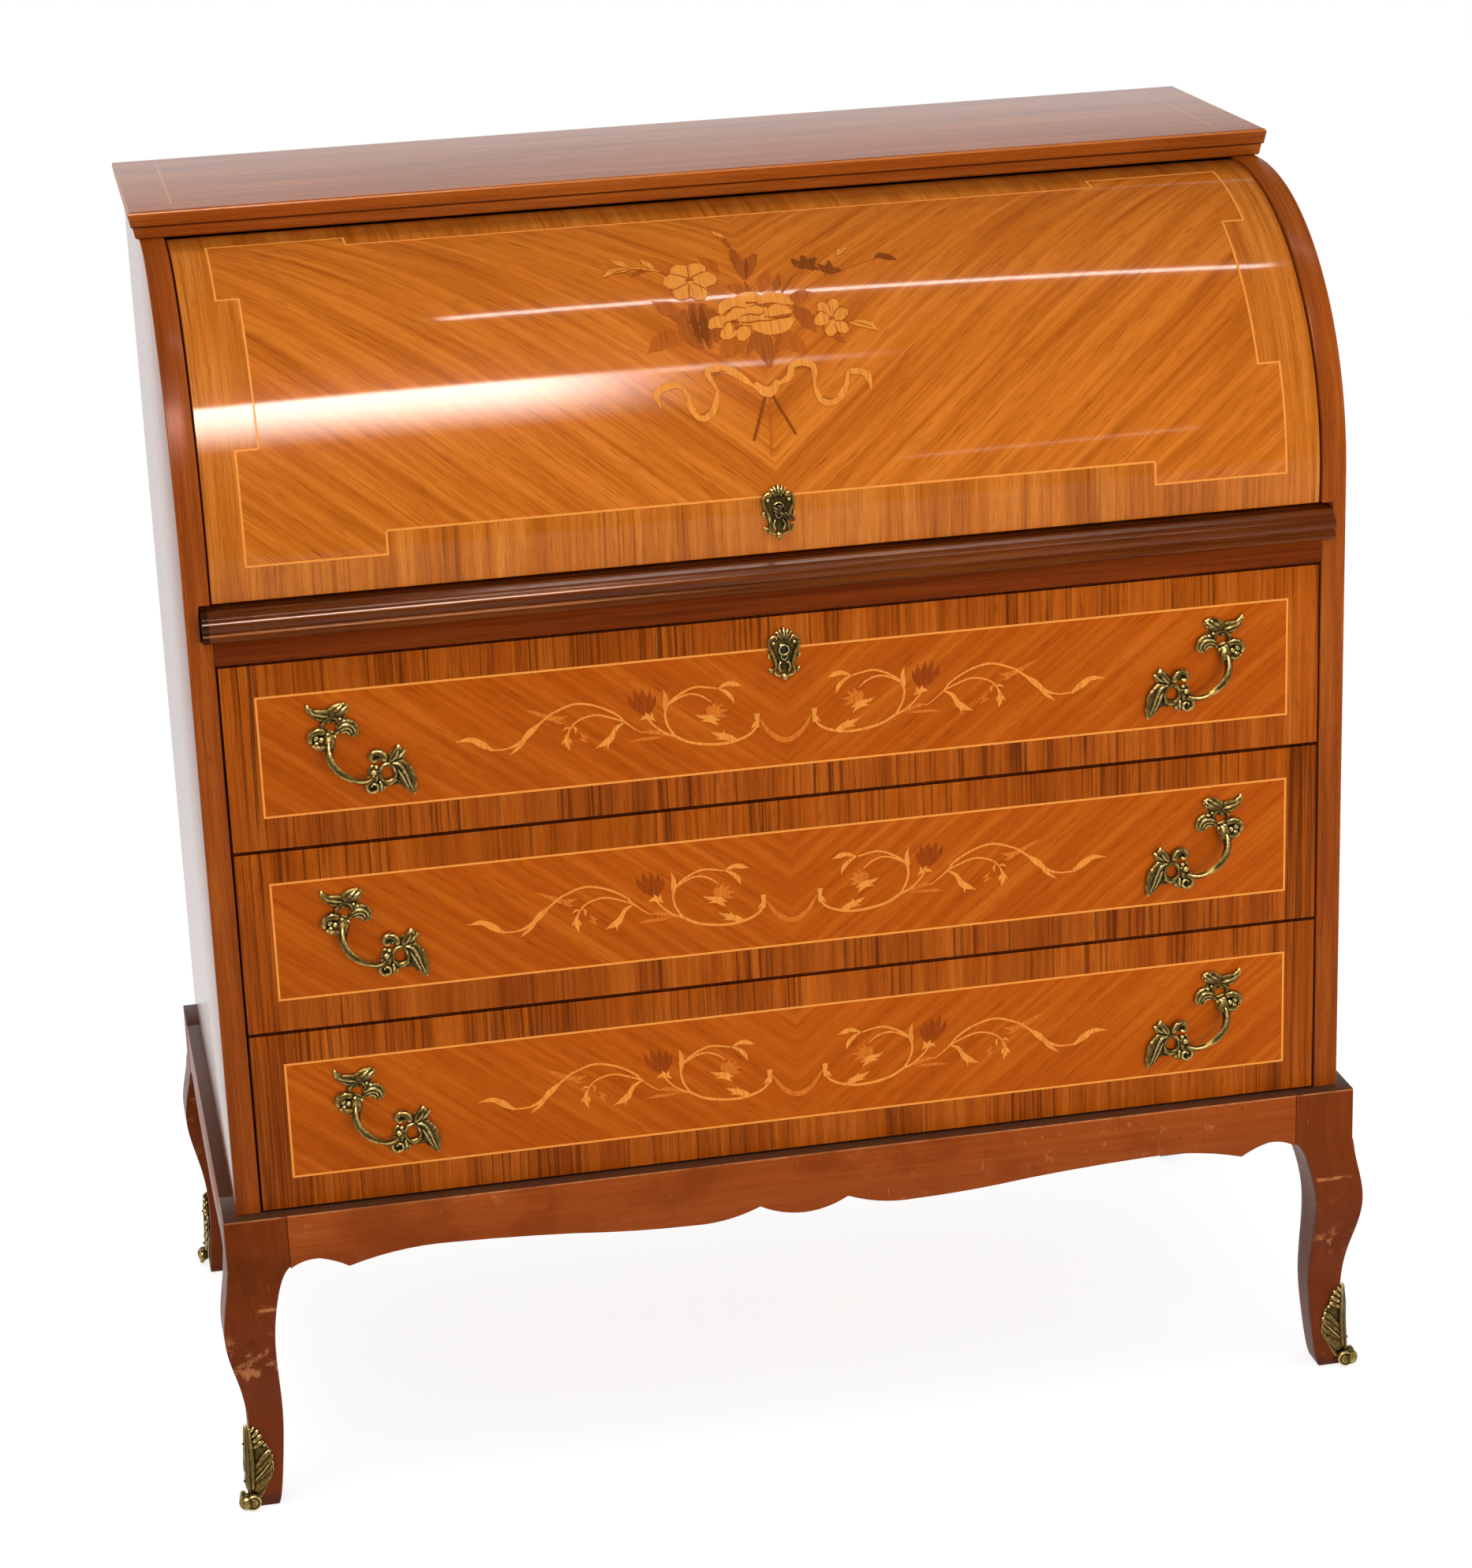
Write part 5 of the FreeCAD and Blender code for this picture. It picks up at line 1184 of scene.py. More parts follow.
def handleLimbs():
    high = (3.5, 4.2, 4.2, 3.8, 2.0)

    def full(path, widths, heights=None, **more):
        # fuller than drawn, because the skin over the limbs is smoothed down
        return limb(path, [w * handle["fullWidth"] for w in widths],
                    [h * handle["fullHeight"] for h in heights or widths], **more)

    def sunk(path, widths):
        # flat ground between and behind the leaves
        spots = [(right, handle["groundOut"], up) for right, up in path]
        return limb(spots, widths, [handle["groundThick"]] * 2)

    ground = [
        sunk([(-29, 27), (-22, 29), (-14, 32.4), (-8.6, 34)], (8, 12, 12, 7)),
        sunk([(-15.4, 23.4), (-9.6, 20.6), (-7, 15)], (9, 12, 7)),
        sunk([(-29, 16.4), (-24, 13.4), (-18.6, 13.4)], (8, 10, 8)),
        bead((-33, handle["groundOut"], 12.4), 12.5, handle["groundThick"]),
        sunk([(16, -9), (12.6, -6), (9, -6.4)], (7, 9, 6)),
        sunk([(21.6, -12.8), (26.6, -7.4), (29.6, -2.4)], (8, 12, 6)),
        sunk([(26, -15), (31, -21), (34.6, -30), (38.8, -39)], (9, 14, 11, 3)),
        sunk([(19, -29), (26, -27.4), (33, -30)], (6, 8, 5)),
        sunk([(9.4, -13), (8.6, -20), (9.4, -27)], (7, 9, 9)),
        bead((7.6, handle["groundOut"], -30.6), 13, handle["groundThick"]),
    ]
    return ground + [
        # upper scroll: horn, top leaf, ring, drooping leaf with ribs, berry and curl
        full([(-19, 2, 27), (-27, 2.4, 30), (-34, 2.6, 32.5), (-38, 2.6, 36.5), (-39.2, 2.2, 41)],
             (8, 9.4, 7.5, 4.6, 1.2), high),
        full([(-22, 4, 29.5), (-29, 4.8, 30.8), (-35, 4.6, 33), (-38.4, 3.8, 38)], (1.2, 1.8, 1.6, 0.8)),
        full([(-24, 4, 27.2), (-31, 4, 28.2), (-36.6, 3.6, 32.2)], (1.0, 1.6, 0.8)),
        full([(-25, 2, 29), (-19, 2.6, 31.5), (-13.5, 2.8, 35), (-9.5, 2.8, 35.5), (-8, 2.4, 33)],
             (6, 9, 9.4, 7, 3), high),
        full([(-20, 4, 32.4), (-15, 4.8, 35.6), (-12, 4.2, 38.6)], (1.8, 2.8, 1.2)),
        full([(-18, 4, 31), (-12, 5, 34.2), (-8.4, 4.4, 36.8)], (1.8, 2.8, 1.2)),
        full([(-17, 4, 30), (-12, 4.6, 32.4), (-8, 4, 33.4)], (1.6, 2.4, 1.2)),
        hoop((-21.7, 2.6, 21.2), 6.7, 7.4, 3.4, 4.6),
        full([(-18, 2.2, 17.5), (-12.5, 2.8, 20.5), (-7.5, 3, 19.8), (-5, 3, 15.5), (-6.8, 2.4, 10)],
             (5, 8.4, 9.4, 7.4, 1.8), high),
        full([(-17, 4.2, 18.8), (-12, 5.2, 22), (-6.8, 5.2, 21), (-3.8, 4.6, 16.4), (-5.4, 3.6, 11.6)],
             (1.4, 2.2, 2.2, 1.8, 0.8)),
        full([(-16.4, 4.2, 17), (-11.6, 5.4, 19.4), (-7.6, 5.2, 18.2), (-6, 4.6, 14.2)], (1.2, 2, 2, 1)),
        full([(-15.4, 4, 15.6), (-11.4, 5, 16.8), (-8.8, 4.6, 15.2), (-8, 4, 12.2)], (1, 1.8, 1.8, 0.8)),
        bead((-11.3, 3.2, 24.6), 3.6),
        bead((-14.6, 3.6, 26.6), 2.6),
        full([(-26, 3, 16), (-31, 3.4, 18.2), (-36.5, 3.4, 16.6), (-38.6, 3.4, 12.4), (-37.4, 3.4, 8.6)],
             (4.4, 5, 5, 4.6, 3.6), (4.5, 5.5, 6, 6, 5), count=24),
        bead((-34.4, 4.2, 13.4), 5.6),
        bead((-33.6, 4.2, 8.4), 5.4),
        bead((-29.8, 4.6, 11.6), 5.2),
        full([(-27, 5, 18.6), (-32, 6, 20.2), (-37.4, 5.6, 18)], (1.2, 2, 1)),
        bead((-24.6, 5.4, 15.6), 3.8),
        bead((-19.6, 5.0, 13.4), 3.2),
        # collar and bow
        full([(-38, 4.2, 8), (-32, 5.6, 5.6), (-26.5, 7.2, 6.4), (-21, 6.6, 9.4)],
             (2.2, 3.6, 4.2, 2.6), (3, 4.4, 5, 3.6)),
        full([(-24, 3.6, 16), (-24, 5.6, 10), (-24.8, 8.6, 4)], (6.6, 7, 5.2), (5, 6.4, 5.6)),
        full([(-20, 4.4, 11.6), (-21.6, 6.8, 6.4), (-23.2, 9.6, 0.6)], (2.2, 2.8, 1.2)),
        full([(-27.4, 5, 9), (-27.6, 8.6, 3.4), (-26.6, 11.2, -2.6)], (2.2, 2.8, 1.2)),
        limb([(-23.8, 5, 11), (-25.2, 9, 5), (-24.8, 12, -1.5), (-21.8, 13, -9), (-16.5, 13.2, -15.5),
              (-10, 13, -20), (-3, 12, -23), (3, 9, -24.2), (8, 5, -23.5)],
             (6.2, 6, 6, 5.6, 5, 4.6, 4.2, 4.4, 5), count=44, around=15, ribs=3, twist=11.0, depth=0.19),
        # lower scroll: knot, beads, curl, two leaves, ring and snail
        bead((4.6, 5.4, -24), 6.2),
        bead((8.2, 5.4, -18.6), 5.2),
        bead((10.6, 4.4, -14.6), 3.4),
        full([(18, 2.6, -12), (16.5, 3, -6.5), (13, 3.2, -3.2), (8.8, 3.2, -3.6), (7.2, 3.2, -7.2),
              (9.4, 3.4, -9.8), (12, 3.4, -8.4)],
             (4.2, 4.8, 4.8, 4.2, 3.6, 3, 2), (4, 4.8, 5.2, 5.2, 4.8, 4.4, 3), count=26),
        full([(19, 4.4, -9), (16, 5.6, -3), (10.4, 5.4, -1.6)], (1.2, 2.2, 1)),
        full([(21, 2.4, -13), (25.5, 2.8, -8), (28.5, 2.8, -3.5), (28.9, 2.4, 2)], (4, 6.4, 6.4, 1.6), high),
        full([(25, 2.8, -9), (30, 2.8, -6.6), (34.8, 2.4, -3)], (4, 6, 1.5), (3.4, 4, 2)),
        full([(22, 4.2, -11.6), (26.6, 5, -7), (29, 4.2, -1.4)], (1.2, 2, 0.8)),
        full([(24, 4.2, -10.6), (29.6, 4.8, -7.4), (33.6, 4, -4.2)], (1.2, 2, 0.8)),
        hoop((19.4, 2.6, -20.7), 6.2, 7.4, 3.4, 4.6),
        full([(21.5, 2.4, -13.5), (28, 2.8, -14), (32.5, 3, -20), (35.5, 2.8, -29), (40, 2.2, -41)],
             (4, 8.4, 10.6, 8.4, 2), high),
        full([(22, 4.4, -12.6), (28.5, 5.4, -14), (32.8, 5.2, -21.5), (35.4, 4.8, -29.5), (38.8, 3.6, -38.4)],
             (1.4, 2.2, 2.2, 1.6, 0.8)),
        full([(27, 4.4, -17.6), (30, 5.2, -23), (33, 4.6, -30), (36.4, 3.4, -36.4)], (1.2, 2, 1.8, 0.8)),
        full([(31, 3, -16.6), (36, 3, -18.6), (38.6, 2.4, -21.6)], (3, 4.4, 1.2), (3, 3.6, 2)),
        full([(33, 3, -23), (37.6, 2.8, -26), (39.4, 2.2, -30)], (3, 4, 1.2), (3, 3.4, 2)),
        volute((7.4, 3.2, -30.8), 6.0, 1.0, 60, 1.5, (4, 3.8, 3.4, 2.6), (5.6, 5.8, 5.6, 5)),
        full([(12, 2.6, -26.6), (14.6, 2.8, -31), (12.8, 2.6, -36)], (3, 5.2, 1.4), (3.4, 4.2, 2)),
        full([(12.6, 4.2, -26), (13.6, 5, -30), (12.6, 4, -34.4)], (1.2, 1.8, 0.8)),
        full([(15, 2.4, -26.6), (20, 2.6, -28.4), (26, 2.4, -25)], (3.4, 4.4, 3.4), (4, 4.8, 4)),
        full([(12.4, 2.4, -17), (10, 2.8, -22), (9, 2.8, -27)], (4, 5, 4)),
    ]


def putOn(x, y, z):
    return lambda right, out, up: (x + right / 1000, y - out / 1000, z + up / 1000)


def handlePairs():
    # one handle is cast on the lowest drawer, mirrored for the right, and the pair copied upwards
    middle = (frontLow.z + frontHigh.z) / 2
    left = cast("handle_cast", handleLimbs(), putOn(-handle["x"], frontY, middle))
    right = copied("handle_cast_right", left.data)
    mirrorMesh(right, (1, 0, 0))
    pick(left, right)
    bpy.ops.object.join()
    for number, drawer in enumerate(drawers):
        pair = copied(drawer + "_handles_cast", left.data)
        pair.data.transform(Matrix.Translation((0, 0, handle["pitch"] * number)))
        finished(pair, drawer + "_handles_cast", drawer, brass, [drawer + "_handles"])
    bpy.data.objects.remove(left)


handlePairs()
print("handles cast")


# escutcheon, in millimetres from its keyhole
def plateLimbs():
    right = [
        limb([(2.4, 1.6, -22), (7.6, 2, -18.4), (7, 2.2, -11.4), (8.6, 2.4, -4), (11.4, 2.4, 3), (11, 2.4, 9),
              (7, 2.4, 11.4), (5.4, 2.2, 8)],
             (2, 3, 3, 3.2, 3.4, 3.2, 2.8, 2), (2.6, 3.6, 3.8, 4, 4, 3.8, 3.4, 3), count=34),
        limb([(6, 1.4, -14.6), (10, 1.8, -16.6), (12.4, 1.4, -14.2)], (3, 3.8, 1), (2.6, 3, 1.6)),
        limb([(9.6, 1.6, -2), (12, 1.8, -4.6), (10.6, 1.6, -7.4)], (2.4, 3, 1), (2.6, 3, 1.6)),
        limb([(1.6, 2, 9), (4, 2.6, 13.4), (6.8, 2, 15.2)], (2, 3.4, 1.4), (2.6, 3.4, 2)),
        limb([(1, 2, 9.4), (2.4, 2.8, 14), (3.6, 2, 17.2)], (1.8, 3, 1.2), (2.6, 3.6, 2)),
        limb([(2.6, 1.8, -9), (4.4, 2.4, -13), (3, 2, -18)], (1.8, 2.6, 1.4), (2.6, 3, 2)),
        bead((8.4, 2.6, 6.2), 3),
    ]
    return right + flipped(right) + [
        limb([(0, 0.7, -24), (0, 0.8, -15), (0, 0.8, -6), (0, 0.8, 4), (0, 0.8, 13)],
             (3, 11, 14, 20, 8), [1.8] * 2, cap=0.05),
        limb([(0, 2, 9.6), (0, 3, 14.6), (0, 2, 18.4)], (2, 3, 1.2), (2.6, 3.8, 2)),
        limb([(0, 1.4, -19.6), (0, 2.2, -22.6), (0, 1.2, -25.8)], (4.4, 4.2, 1.2), (2.6, 3.4, 1.6)),
        hoop((0, 1.9, 0), 3.9, 3.9, 1.5, 2.6),
        limb([(2.4, 1.7, -3.4), (2.3, 1.9, -6), (0, 1.9, -8.2), (-2.3, 1.9, -6), (-2.4, 1.7, -3.4)],
             (1.2, 1.2), (2.2, 2.2)),
    ]


def keyholeLimbs():
    slot = limb([(0, 1.7, 0), (0, 1.7, -3), (0, 1.7, -7)], (2.6, 2.6, 3.4), (1.2, 1.2, 1.2))
    return [bead((0, 1.7, 0), 5.4, 1.2), slot]


def putOnRoll(z):
    # out from the curve of the roll
    def put(right, out, up):
        height = z + up / 1000
        radius = rollRadius + out / 1000
        return (right / 1000, axisY - math.sqrt(radius ** 2 - (height - axisZ) ** 2), height)
    return put


# keyhole above the foot of the plate, in metres, and how finely plate and hole are cast
plate = {"drop": 0.026, "voxel": 0.0003, "keep": 0.4, "holeKeep": 0.3}
plates = (("roll_escutcheon", "cylinder_escutcheon", "roll"),
          ("drawer_escutcheon_cast", "drawer_escutcheon", "drawer_top"))

for name, node, body in plates:
    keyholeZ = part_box(node)[0].z + plate["drop"]
    put = putOnRoll(keyholeZ) if body == "roll" else putOn(0, frontY, keyholeZ)
    metal = cast(name, plateLimbs(), put, plate["voxel"], plate["keep"])
    finished(metal, name, body, brass, [node])
    # the keyhole is a thin black piece: painted shade where the hollow of the hole is
    hole = cast(name + "_hole", keyholeLimbs(), put, plate["voxel"], plate["holeKeep"])
    finished(hole, name + "_hole", body, blackPinsAndHoleShade)
print("escutcheons cast")


# key: the bow hangs to the lower right, in millimetres across and out from where the shank meets it
keyShape = {"turn": 35.0, "bowStart": 9.4, "voxel": 0.00032, "keep": 0.5}


def keyPiece():
    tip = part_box("key")[1].y
    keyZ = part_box("cylinder_escutcheon")[0].z + plate["drop"]
    turn = math.radians(keyShape["turn"])

    def put(across, out, rise):
        # rise is square to the plane of the bow
        x = across * math.cos(turn) + rise * math.sin(turn)
        z = -across * math.sin(turn) + rise * math.cos(turn)
        return (x / 1000, frontY - (keyShape["bowStart"] + out) / 1000, keyZ + z / 1000)

    flat = (0, 0, 1)
    right = [
        limb([(1, 0, 0), (5, 1.2, 0), (9, 4.4, 0), (9.2, 8.6, 0), (5.8, 11, 0), (3, 9, 0), (4, 6.4, 0)],
             (2, 2.6, 2.8, 2.8, 2.6, 2.2, 1.6), (2.4, 2.8, 3, 3, 2.8, 2.4, 2), flat, count=30),
        limb([(4.6, 11, 0), (6, 14.4, 0), (4.4, 18, 0), (0, 19.2, 0)],
             (2, 2.6, 2.6, 2.4), (2.4, 2.8, 2.8, 2.6), flat, count=18),
        limb([(1, 10, 0), (2.4, 13, 0), (1.6, 16, 0)], (1.6, 2, 1.4), None, flat),
    ]
    depth = (tip - frontY) * 1000 + keyShape["bowStart"]
    limbs = right + flipped(right) + [
        limb([(0, 0, 0), (0, 6, 0), (0, 11.4, 0)], (2.4, 2.6, 2.2), None, flat),
        limb([(0, 3, 0), (0, -10, 0), (0, -depth, 0)], (4.6, 5.2, 5.2), None, flat, count=20, cap=0.05),
        limb([(0, -1.4, 0), (0, 0, 0), (0, 1.4, 0)], (7.4, 7.4), None, flat, cap=0.4),
        limb([(0, -6, 0), (0, -5, 0), (0, -4, 0)], (6.8, 6.8), None, flat, cap=0.4),
        limb([(0, 17.4, 0), (0, 18.8, 0), (0, 20.2, 0)], (3.4, 3.4), None, flat, cap=0.5),
        limb([(0, -depth + 4, -1), (0, -depth + 2, -1), (0, -depth, -1)],
             (2.6, 2.6), (11, 11), flat, cap=0.02, around=4),
    ]
    piece = cast("key_cast", limbs, put, keyShape["voxel"], keyShape["keep"])
    return finished(piece, "key_cast", "key", keyBrass, ["key"])


keyPiece()
print("key cast")


# feet: a brass leaf wraps the outer corner; millimetres in from the corner, out from the face and up
foot = {"corner": 471.1, "front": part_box("apron_front")[0].y * 1000, "floor": 0.15,
        "reach": [(0, -2.7), (12.9, -3.3), (38, -5.0), (78, -5.9), (112, -1.2)],
        "spine": (6, 20, 36, 52, 66, 73), "spineOut": 0.4, "toeOut": 0.9, "toeHeight": 7.5, "toeHalf": 6.6,
        "toeWidth": 12.6, "pins": (55, 22), "pinIn": 4, "pinOut": 4.2, "pinWidth": 2.8}
# how finely leaf and pins are cast: voxel in metres and share of the faces kept
footCast = {"leaf": (0.00045, 0.45), "pins": (0.0003, 0.5)}


def footReach(z):
    for (low, first), (high, second) in zip(foot["reach"], foot["reach"][1:]):
        if z <= high:
            return first + (second - first) * (z - low) / (high - low)
    return foot["reach"][-1][1]


def leafLimbs():
    # one face: a small upper leaf, a ribbed lobe below it and the round face of the toe
    tall = (2.6, 3.6, 3.4, 1.8)
    return [
        limb([(3.4, 0.5, 5), (7, 0.7, 20), (9.6, 0.7, 33), (9.2, 0.7, 46), (6, 0.7, 58), (2.6, 0.7, 71)],
             (8, 13, 20, 17, 11, 5), [2.6] * 2, cap=0.05),
        limb([(2, 2, 14), (1.6, 2.4, 40), (1, 2.4, 60), (0.4, 1.8, 73)], (3, 4, 3.6, 2), (3, 3.6, 3.6, 2.4)),
        limb([(3, 2, 34), (8, 3, 40.6), (13, 3, 46.6), (17.2, 2, 50.4)], (3, 4.6, 5.4, 3.4), tall),
        limb([(3.4, 2, 29), (9, 3, 36), (14, 3, 42), (18.8, 2, 46)], (3.4, 5.4, 6, 3.6), tall),
        limb([(3.6, 2, 22), (9.4, 2.8, 29.4), (14, 2.8, 35.4), (18.6, 2, 40)], (5, 8, 8.6, 5), tall),
        limb([(3.4, 2, 14), (8.6, 2.6, 21.6), (13, 2.4, 27.6), (17.4, 1.8, 31.6)], (5, 8, 8.6, 5), tall),
        limb([(3.4, 3.4, 25), (9.4, 4.4, 32), (14.2, 4.2, 38), (18, 3, 41.6)], (1, 1.6, 1.6, 0.8)),
        limb([(2, 2, 53.4), (5.5, 2.8, 55.6), (9, 2.6, 57.6), (12.2, 1.8, 58.2)], (2.4, 4, 4.6, 2.8), tall),
        limb([(2, 2, 58), (5.4, 2.8, 60.8), (8.4, 2.4, 63.4), (10.4, 1.6, 64.6)], (2.4, 3.8, 4.2, 2.4), tall),
        limb([(1.6, 2, 63), (4.4, 2.6, 65.8), (6.8, 2.2, 68.4), (8, 1.6, 69.6)], (2.2, 3.2, 3.4, 2), tall),
        limb([(1.2, 2, 68), (3, 2.4, 70.6), (4.4, 2, 73)], (1.6, 2.2, 1.4), tall),
        bead((12.2, 1.8, 55.2), 3.4),
        limb([(1.6, 1, 7.6), (1.6, 5, 7.6), (1.6, 9.4, 7.6)], (8.8, 8.8), None, (0, 0, 1), cap=0.24),
        hoop((1.6, 6.2, 7.6), 5.6, 5.6, 2.4, 4.4),
    ]


def footCorner(z, out=0.0):
    # the outer corner of the foot at this height, or a place out from it
    return foot["corner"] + footReach(z) + out, foot["front"] - footReach(z) - out


def ahead(inward, out, z):
    x, y = footCorner(z)
    return x - inward, y - out, z


def beside(inward, out, z):
    x, y = footCorner(z)
    return x + out, y + inward, z


def footLimbs():
    limbs = []
    for face in (ahead, beside):
        limbs += [[[face(*spot) for spot in ring] for ring in rows] for rows in leafLimbs()]
    diagonal = (0.7071, -0.7071, 0)
    spine = [(*footCorner(z, foot["spineOut"]), z) for z in foot["spine"]]
    limbs.append(limb(spine, (4, 4.4, 4.4, 4, 3.4, 2.4), (4.4, 5, 5, 4.6, 4, 3), diagonal, count=20))
    toe = Vector((foot["corner"] + foot["toeOut"], foot["front"] - foot["toeOut"], foot["toeHeight"]))
    half, width = Vector((0, 0, foot["toeHalf"])), [foot["toeWidth"]] * 2
    limbs.append(limb([toe - half, toe, toe + half], width, None, diagonal, count=10, cap=0.5))
    return limbs


def footPins():
    return [bead(beside(foot["pinIn"], foot["pinOut"], z), foot["pinWidth"]) for z in foot["pins"]]


def putFoot(x, y, z):
    return x / 1000, y / 1000, max(z, foot["floor"]) / 1000


def feet():
    # one foot is cast at the front right and mirrored for the others
    leaf = cast("foot_leaf", footLimbs(), putFoot, *footCast["leaf"])
    pins = cast("foot_pins", footPins(), putFoot, *footCast["pins"])
    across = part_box("apron_front")[0].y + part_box("rail_back")[1].y
    for end, side in (("front", "right"), ("front", "left"), ("rear", "right"), ("rear", "left")):
        place = f"{end}_{side}"
        for source, name, finish, replaced in ((leaf, "foot_leaf", brass, ["sabot_" + place]),
                                               (pins, "foot_pins", blackPinsAndHoleShade, [])):
            piece = copied(f"{name}_{place}", source.data)
            if side == "left":
                mirrorMesh(piece, (1, 0, 0))
            if end == "rear":
                mirrorMesh(piece, (0, 1, 0), (0, across, 0))
            finished(piece, f"{name}_{place}", "carcase", finish, replaced)
    bpy.data.objects.remove(leaf)
    bpy.data.objects.remove(pins)


feet()
print("feet cast")


# inside, back and bottom: boards and metal with their edges eased, in metres
innerEdges = {"board": 0.0006, "front": 0.0007, "tray": 0.0004, "metal": 0.0003}

for node in ("back_panel", "bottom_board", "dust_board"):
    softened(node, node + "_eased", plainX, innerEdges["board"])
softened("drawer_runners", "drawer_runners_eased", plainY, innerEdges["board"])
for node in ("bed_board", "pigeonhole_top", "pigeonhole_back", "pigeonhole_shelves"):
    softened(node, node + "_eased", nestWood, innerEdges["board"])
for node in ("pigeonhole_uprights", "cylinder_end_left", "cylinder_end_right"):
    softened(node, node + "_eased", nestUpright, innerEdges["board"])
for drawer in drawers:
    for part, finish in (("back", plainX), ("floor", plainX), ("sides", plainY)):
        softened(f"{drawer}_{part}", f"{drawer}_{part}_eased", finish, innerEdges["board"])
for side in ("left", "right"):
    small = "inner_drawer_" + side
    softened(small + "_front", small + "_veneered", nestWood, innerEdges["front"])
    softened(small + "_tray", small + "_tray_eased", plainX, innerEdges["tray"])
    softened(small + "_knob", small + "_knob_turned", brass, innerEdges["metal"])
for node in ("pivot_pins", "cylinder_lock", "drawer_lock"):
    softened(node, node + "_filed", steel, innerEdges["metal"])
print("inside dressed")


# studio

studio = {"floorSize": 80.0, "floorDrop": 0.0005, "fade": (0.9, 1.9), "plainGrey": 0.72, "shadowGrey": 0.34,
          "glow": 0.8, "ambient": 0.78}


def grey(share):
    return (share, share, share, 1)


def seenStraight(shader):
    # 1 for the camera, reflections and clear glass, 0 for the light that falls on the desk
    path = shader.node("LightPath", {}, {}, "Is Camera Ray")
    outs = path.socket.node.outputs
    glossy, clear = Wire(shader.tree, outs["Is Glossy Ray"]), Wire(shader.tree, outs["Is Transmission Ray"])
    return path.most(glossy).most(clear)


def turnedTo(values, axis):
    # the turn that points an axis from its place to its aim
    return (Vector(values["to"]) - Vector(values["at"])).to_track_quat(axis, "Y")


def studioSheet(name, at, size, turn):
    pick()
    bpy.ops.mesh.primitive_plane_add(size=1.0)
    sheet = bpy.context.object
    sheet.name = name
    sheet.scale = (*size, 1)
    sheet.rotation_euler = turn
    sheet.location = at
    bpy.ops.object.transform_apply(location=True, rotation=True, scale=True)
    sheet.visible_camera = sheet.visible_diffuse = False
    return sheet


def studioFloor():
    # white to the camera, with the shadow round the feet only
    pick()
    bpy.ops.mesh.primitive_plane_add(size=studio["floorSize"], location=(0, 0, -studio["floorDrop"]))
    floor = bpy.context.object
    floor.name = "studio_floor"
    finish, shader = newFinish("floor_pale")
    seen = seenStraight(shader)
    point = shader.place()[0]
    away = shader.node("VectorMath", {"operation": "LENGTH"}, {0: point}, "Value").between(*studio["fade"])
    plain = shader.node("BsdfDiffuse", {}, {"Color": grey(studio["plainGrey"])})
    shadowed = shader.node("BsdfDiffuse", {}, {"Color": grey(studio["shadowGrey"])})
    glow = shader.node("Emission", {}, {"Color": grey(1), "Strength": studio["glow"]})
    near = shader.node("AddShader", {}, {0: shadowed, 1: glow})
    far = shader.node("Emission", {}, {"Color": grey(1), "Strength": 1.0})
    white = shader.node("MixShader", {}, {0: away, 1: near, 2: far})
    both = shader.node("MixShader", {}, {0: seen, 1: plain, 2: white})
    shader.node("OutputMaterial", {}, {"Surface": both})
    floor.data.materials.append(finish)


def studioWorld():
    world = bpy.data.worlds.new("studio_white")
    bpy.context.scene.world = world
    world.use_nodes = True
    world.node_tree.nodes.clear()
    shader = Wire(world.node_tree)
    seen = seenStraight(shader)
    dim = shader.node("Background", {}, {"Color": grey(1), "Strength": studio["ambient"]})
    white = shader.node("Background", {}, {"Color": grey(1), "Strength": 1.0})
    both = shader.node("MixShader", {}, {0: seen, 1: dim, 2: white})
    shader.node("OutputWorld", {}, {"Surface": both})


# area lamps in metres and watts; hidden names the kind of ray that doesn't see a lamp
lamps = {
    "fill": {"at": (3.7, -1.7, 1.2), "to": (0, 0, 0.5), "size": (1.6, 1.6), "watts": 18, "hidden": ""},
    "front": {"at": (1.0, -3.3, 0.45), "to": (0, 0, 0.45), "size": (2.0, 0.9), "watts": 42,
              "hidden": "glossy"},
    "crown": {"at": (-1.1, -0.5, 2.3), "to": (-0.35, -0.15, 0.95), "size": (0.5, 0.5), "watts": 7,
              "hidden": "glossy"},
    "overhead": {"at": (0.75, -0.21, 2.9), "to": (0.75, -0.2, 0.9), "size": (2.2, 0.045), "watts": 20,
                 "hidden": "diffuse"},
    "low": {"at": (1.45, -2.6, 1.2), "to": (0.35, -0.2, 0.83), "size": (1.0, 0.035), "watts": 1.0,
            "hidden": "diffuse"},
}
# a pane of light whose brightness fades to the right, with a weaker strip along its upper edge
pane = {"at": (0.05, -1.92, 2.68), "to": (0.05, -0.19, 0.86), "size": (3.0, 0.95), "strength": 84.0,
        "fade": (-0.35, 0.34), "lower": (-0.05, 0.62), "upper": 0.05, "strip": (0.25, 1.05),
        "stripDrop": (0.11, 0.07), "stripShare": 0.3, "colour": (1.0, 0.96, 0.91)}


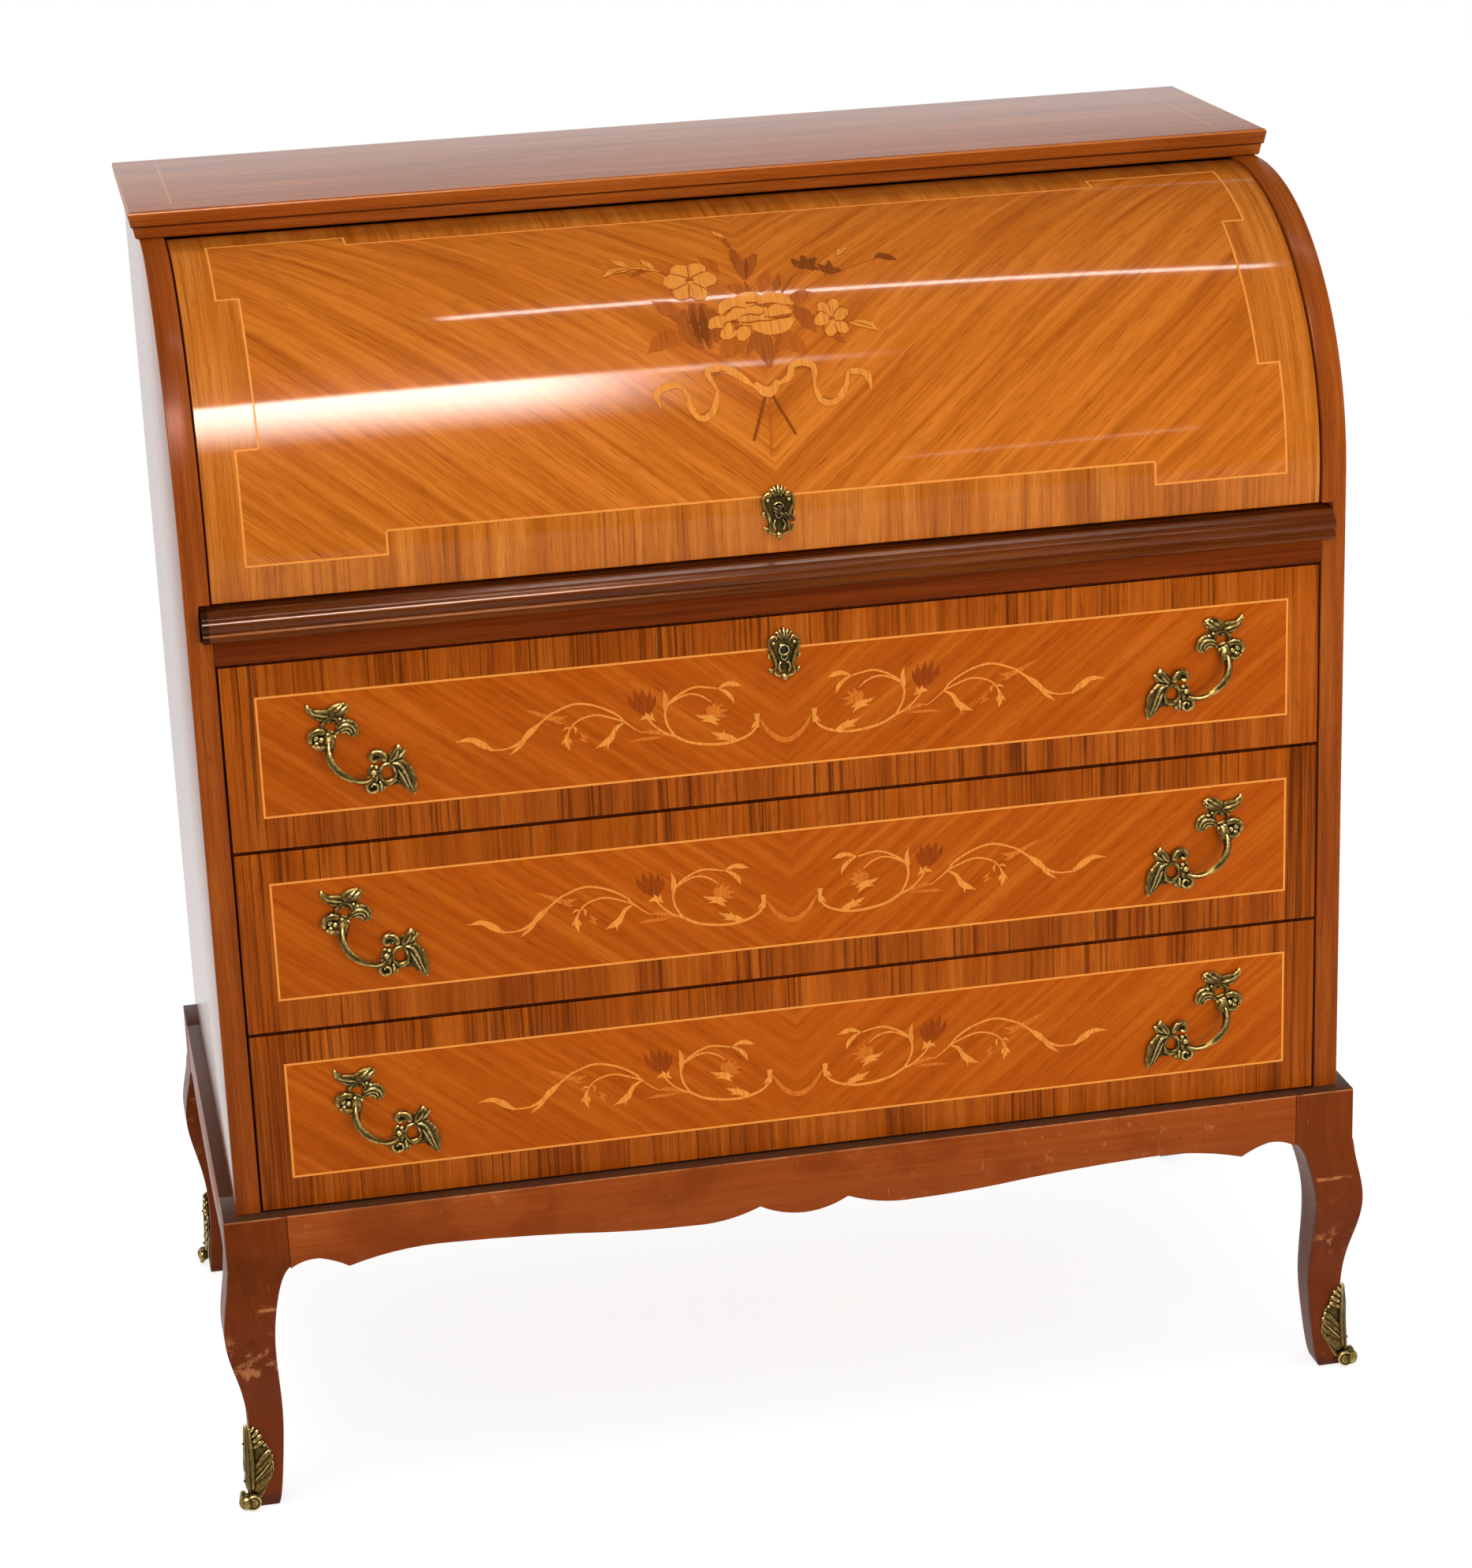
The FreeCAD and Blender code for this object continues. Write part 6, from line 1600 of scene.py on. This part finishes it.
def studioPane():
    sheet = studioSheet("studio_pane", pane["at"], pane["size"], turnedTo(pane, "Z").to_euler())
    finish, shader = newFinish("pane_light")
    point, x, y, z = shader.place()
    heights = [vertex.co.z for vertex in sheet.data.vertices]
    low, high = min(heights), max(heights)
    bodyLow, bodyHigh = (low + height for height in pane["lower"])
    stripLow, stripHigh = (high - drop for drop in pane["stripDrop"])
    upper = 1 - z.between(high - pane["upper"], high)
    body = z.between(bodyLow, bodyHigh) * (1 - x.between(*pane["fade"]))
    strip = z.between(stripLow, stripHigh) * (1 - x.between(*pane["strip"])) * pane["stripShare"]
    behind = shader.node("NewGeometry", {}, {}, "Backfacing")
    strength = body.most(strip) * upper * (1 - behind) * pane["strength"]
    light = shader.node("Emission", {}, {"Color": (*pane["colour"], 1), "Strength": strength})
    shader.node("OutputMaterial", {}, {"Surface": light})
    sheet.data.materials.append(finish)


# black cloths before and above the desk, seen in its polish only
cloths = {"before": {"at": (0, -4.6, 2.4), "size": (14, 6.4), "tilt": 90.0},
          "above": {"at": (0, 1.0, 5.4), "size": (14, 12), "tilt": 0.0}}


def studioCloths():
    finish, shader = newFinish("cloth_black")
    black = shader.node("BsdfDiffuse", {}, {"Color": grey(0.01)})
    shader.node("OutputMaterial", {}, {"Surface": black})
    for name, values in cloths.items():
        tilt = (math.radians(values["tilt"]), 0, 0)
        sheet = studioSheet("studio_cloth_" + name, values["at"], values["size"], tilt)
        sheet.data.materials.append(finish)
        sheet.visible_shadow = sheet.visible_transmission = False


def studioLamps():
    for name, values in lamps.items():
        pick()
        bpy.ops.object.light_add(type="AREA", location=values["at"])
        lamp = bpy.context.object
        lamp.name = "lamp_" + name
        lamp.data.shape = "RECTANGLE"
        lamp.data.size, lamp.data.size_y = values["size"]
        lamp.data.energy = values["watts"]
        lamp.data.color = pane["colour"]
        lamp.rotation_euler = turnedTo(values, "-Z").to_euler()
        lamp.visible_diffuse = values["hidden"] != "diffuse"
        lamp.visible_glossy = values["hidden"] != "glossy"


photoCamera = {"at": (-0.5821, -2.9801, 1.5571), "to": (-0.0427, 0.0, 0.5202), "roll": -2.444, "lens": 86.93,
               "shift": (0.0328, -0.0114)}


def studioCamera():
    values = photoCamera
    pick()
    bpy.ops.object.camera_add(location=values["at"])
    camera = bpy.context.object
    aim = turnedTo(values, "-Z").to_matrix()
    camera.rotation_euler = (aim @ Matrix.Rotation(math.radians(values["roll"]), 3, "Z")).to_euler()
    camera.data.lens = values["lens"]
    camera.data.shift_x, camera.data.shift_y = values["shift"]
    bpy.context.scene.camera = camera


studioFloor()
studioWorld()
studioPane()
studioCloths()
studioLamps()
studioCamera()
bpy.context.scene.view_settings.view_transform = "Standard"
print("studio set")
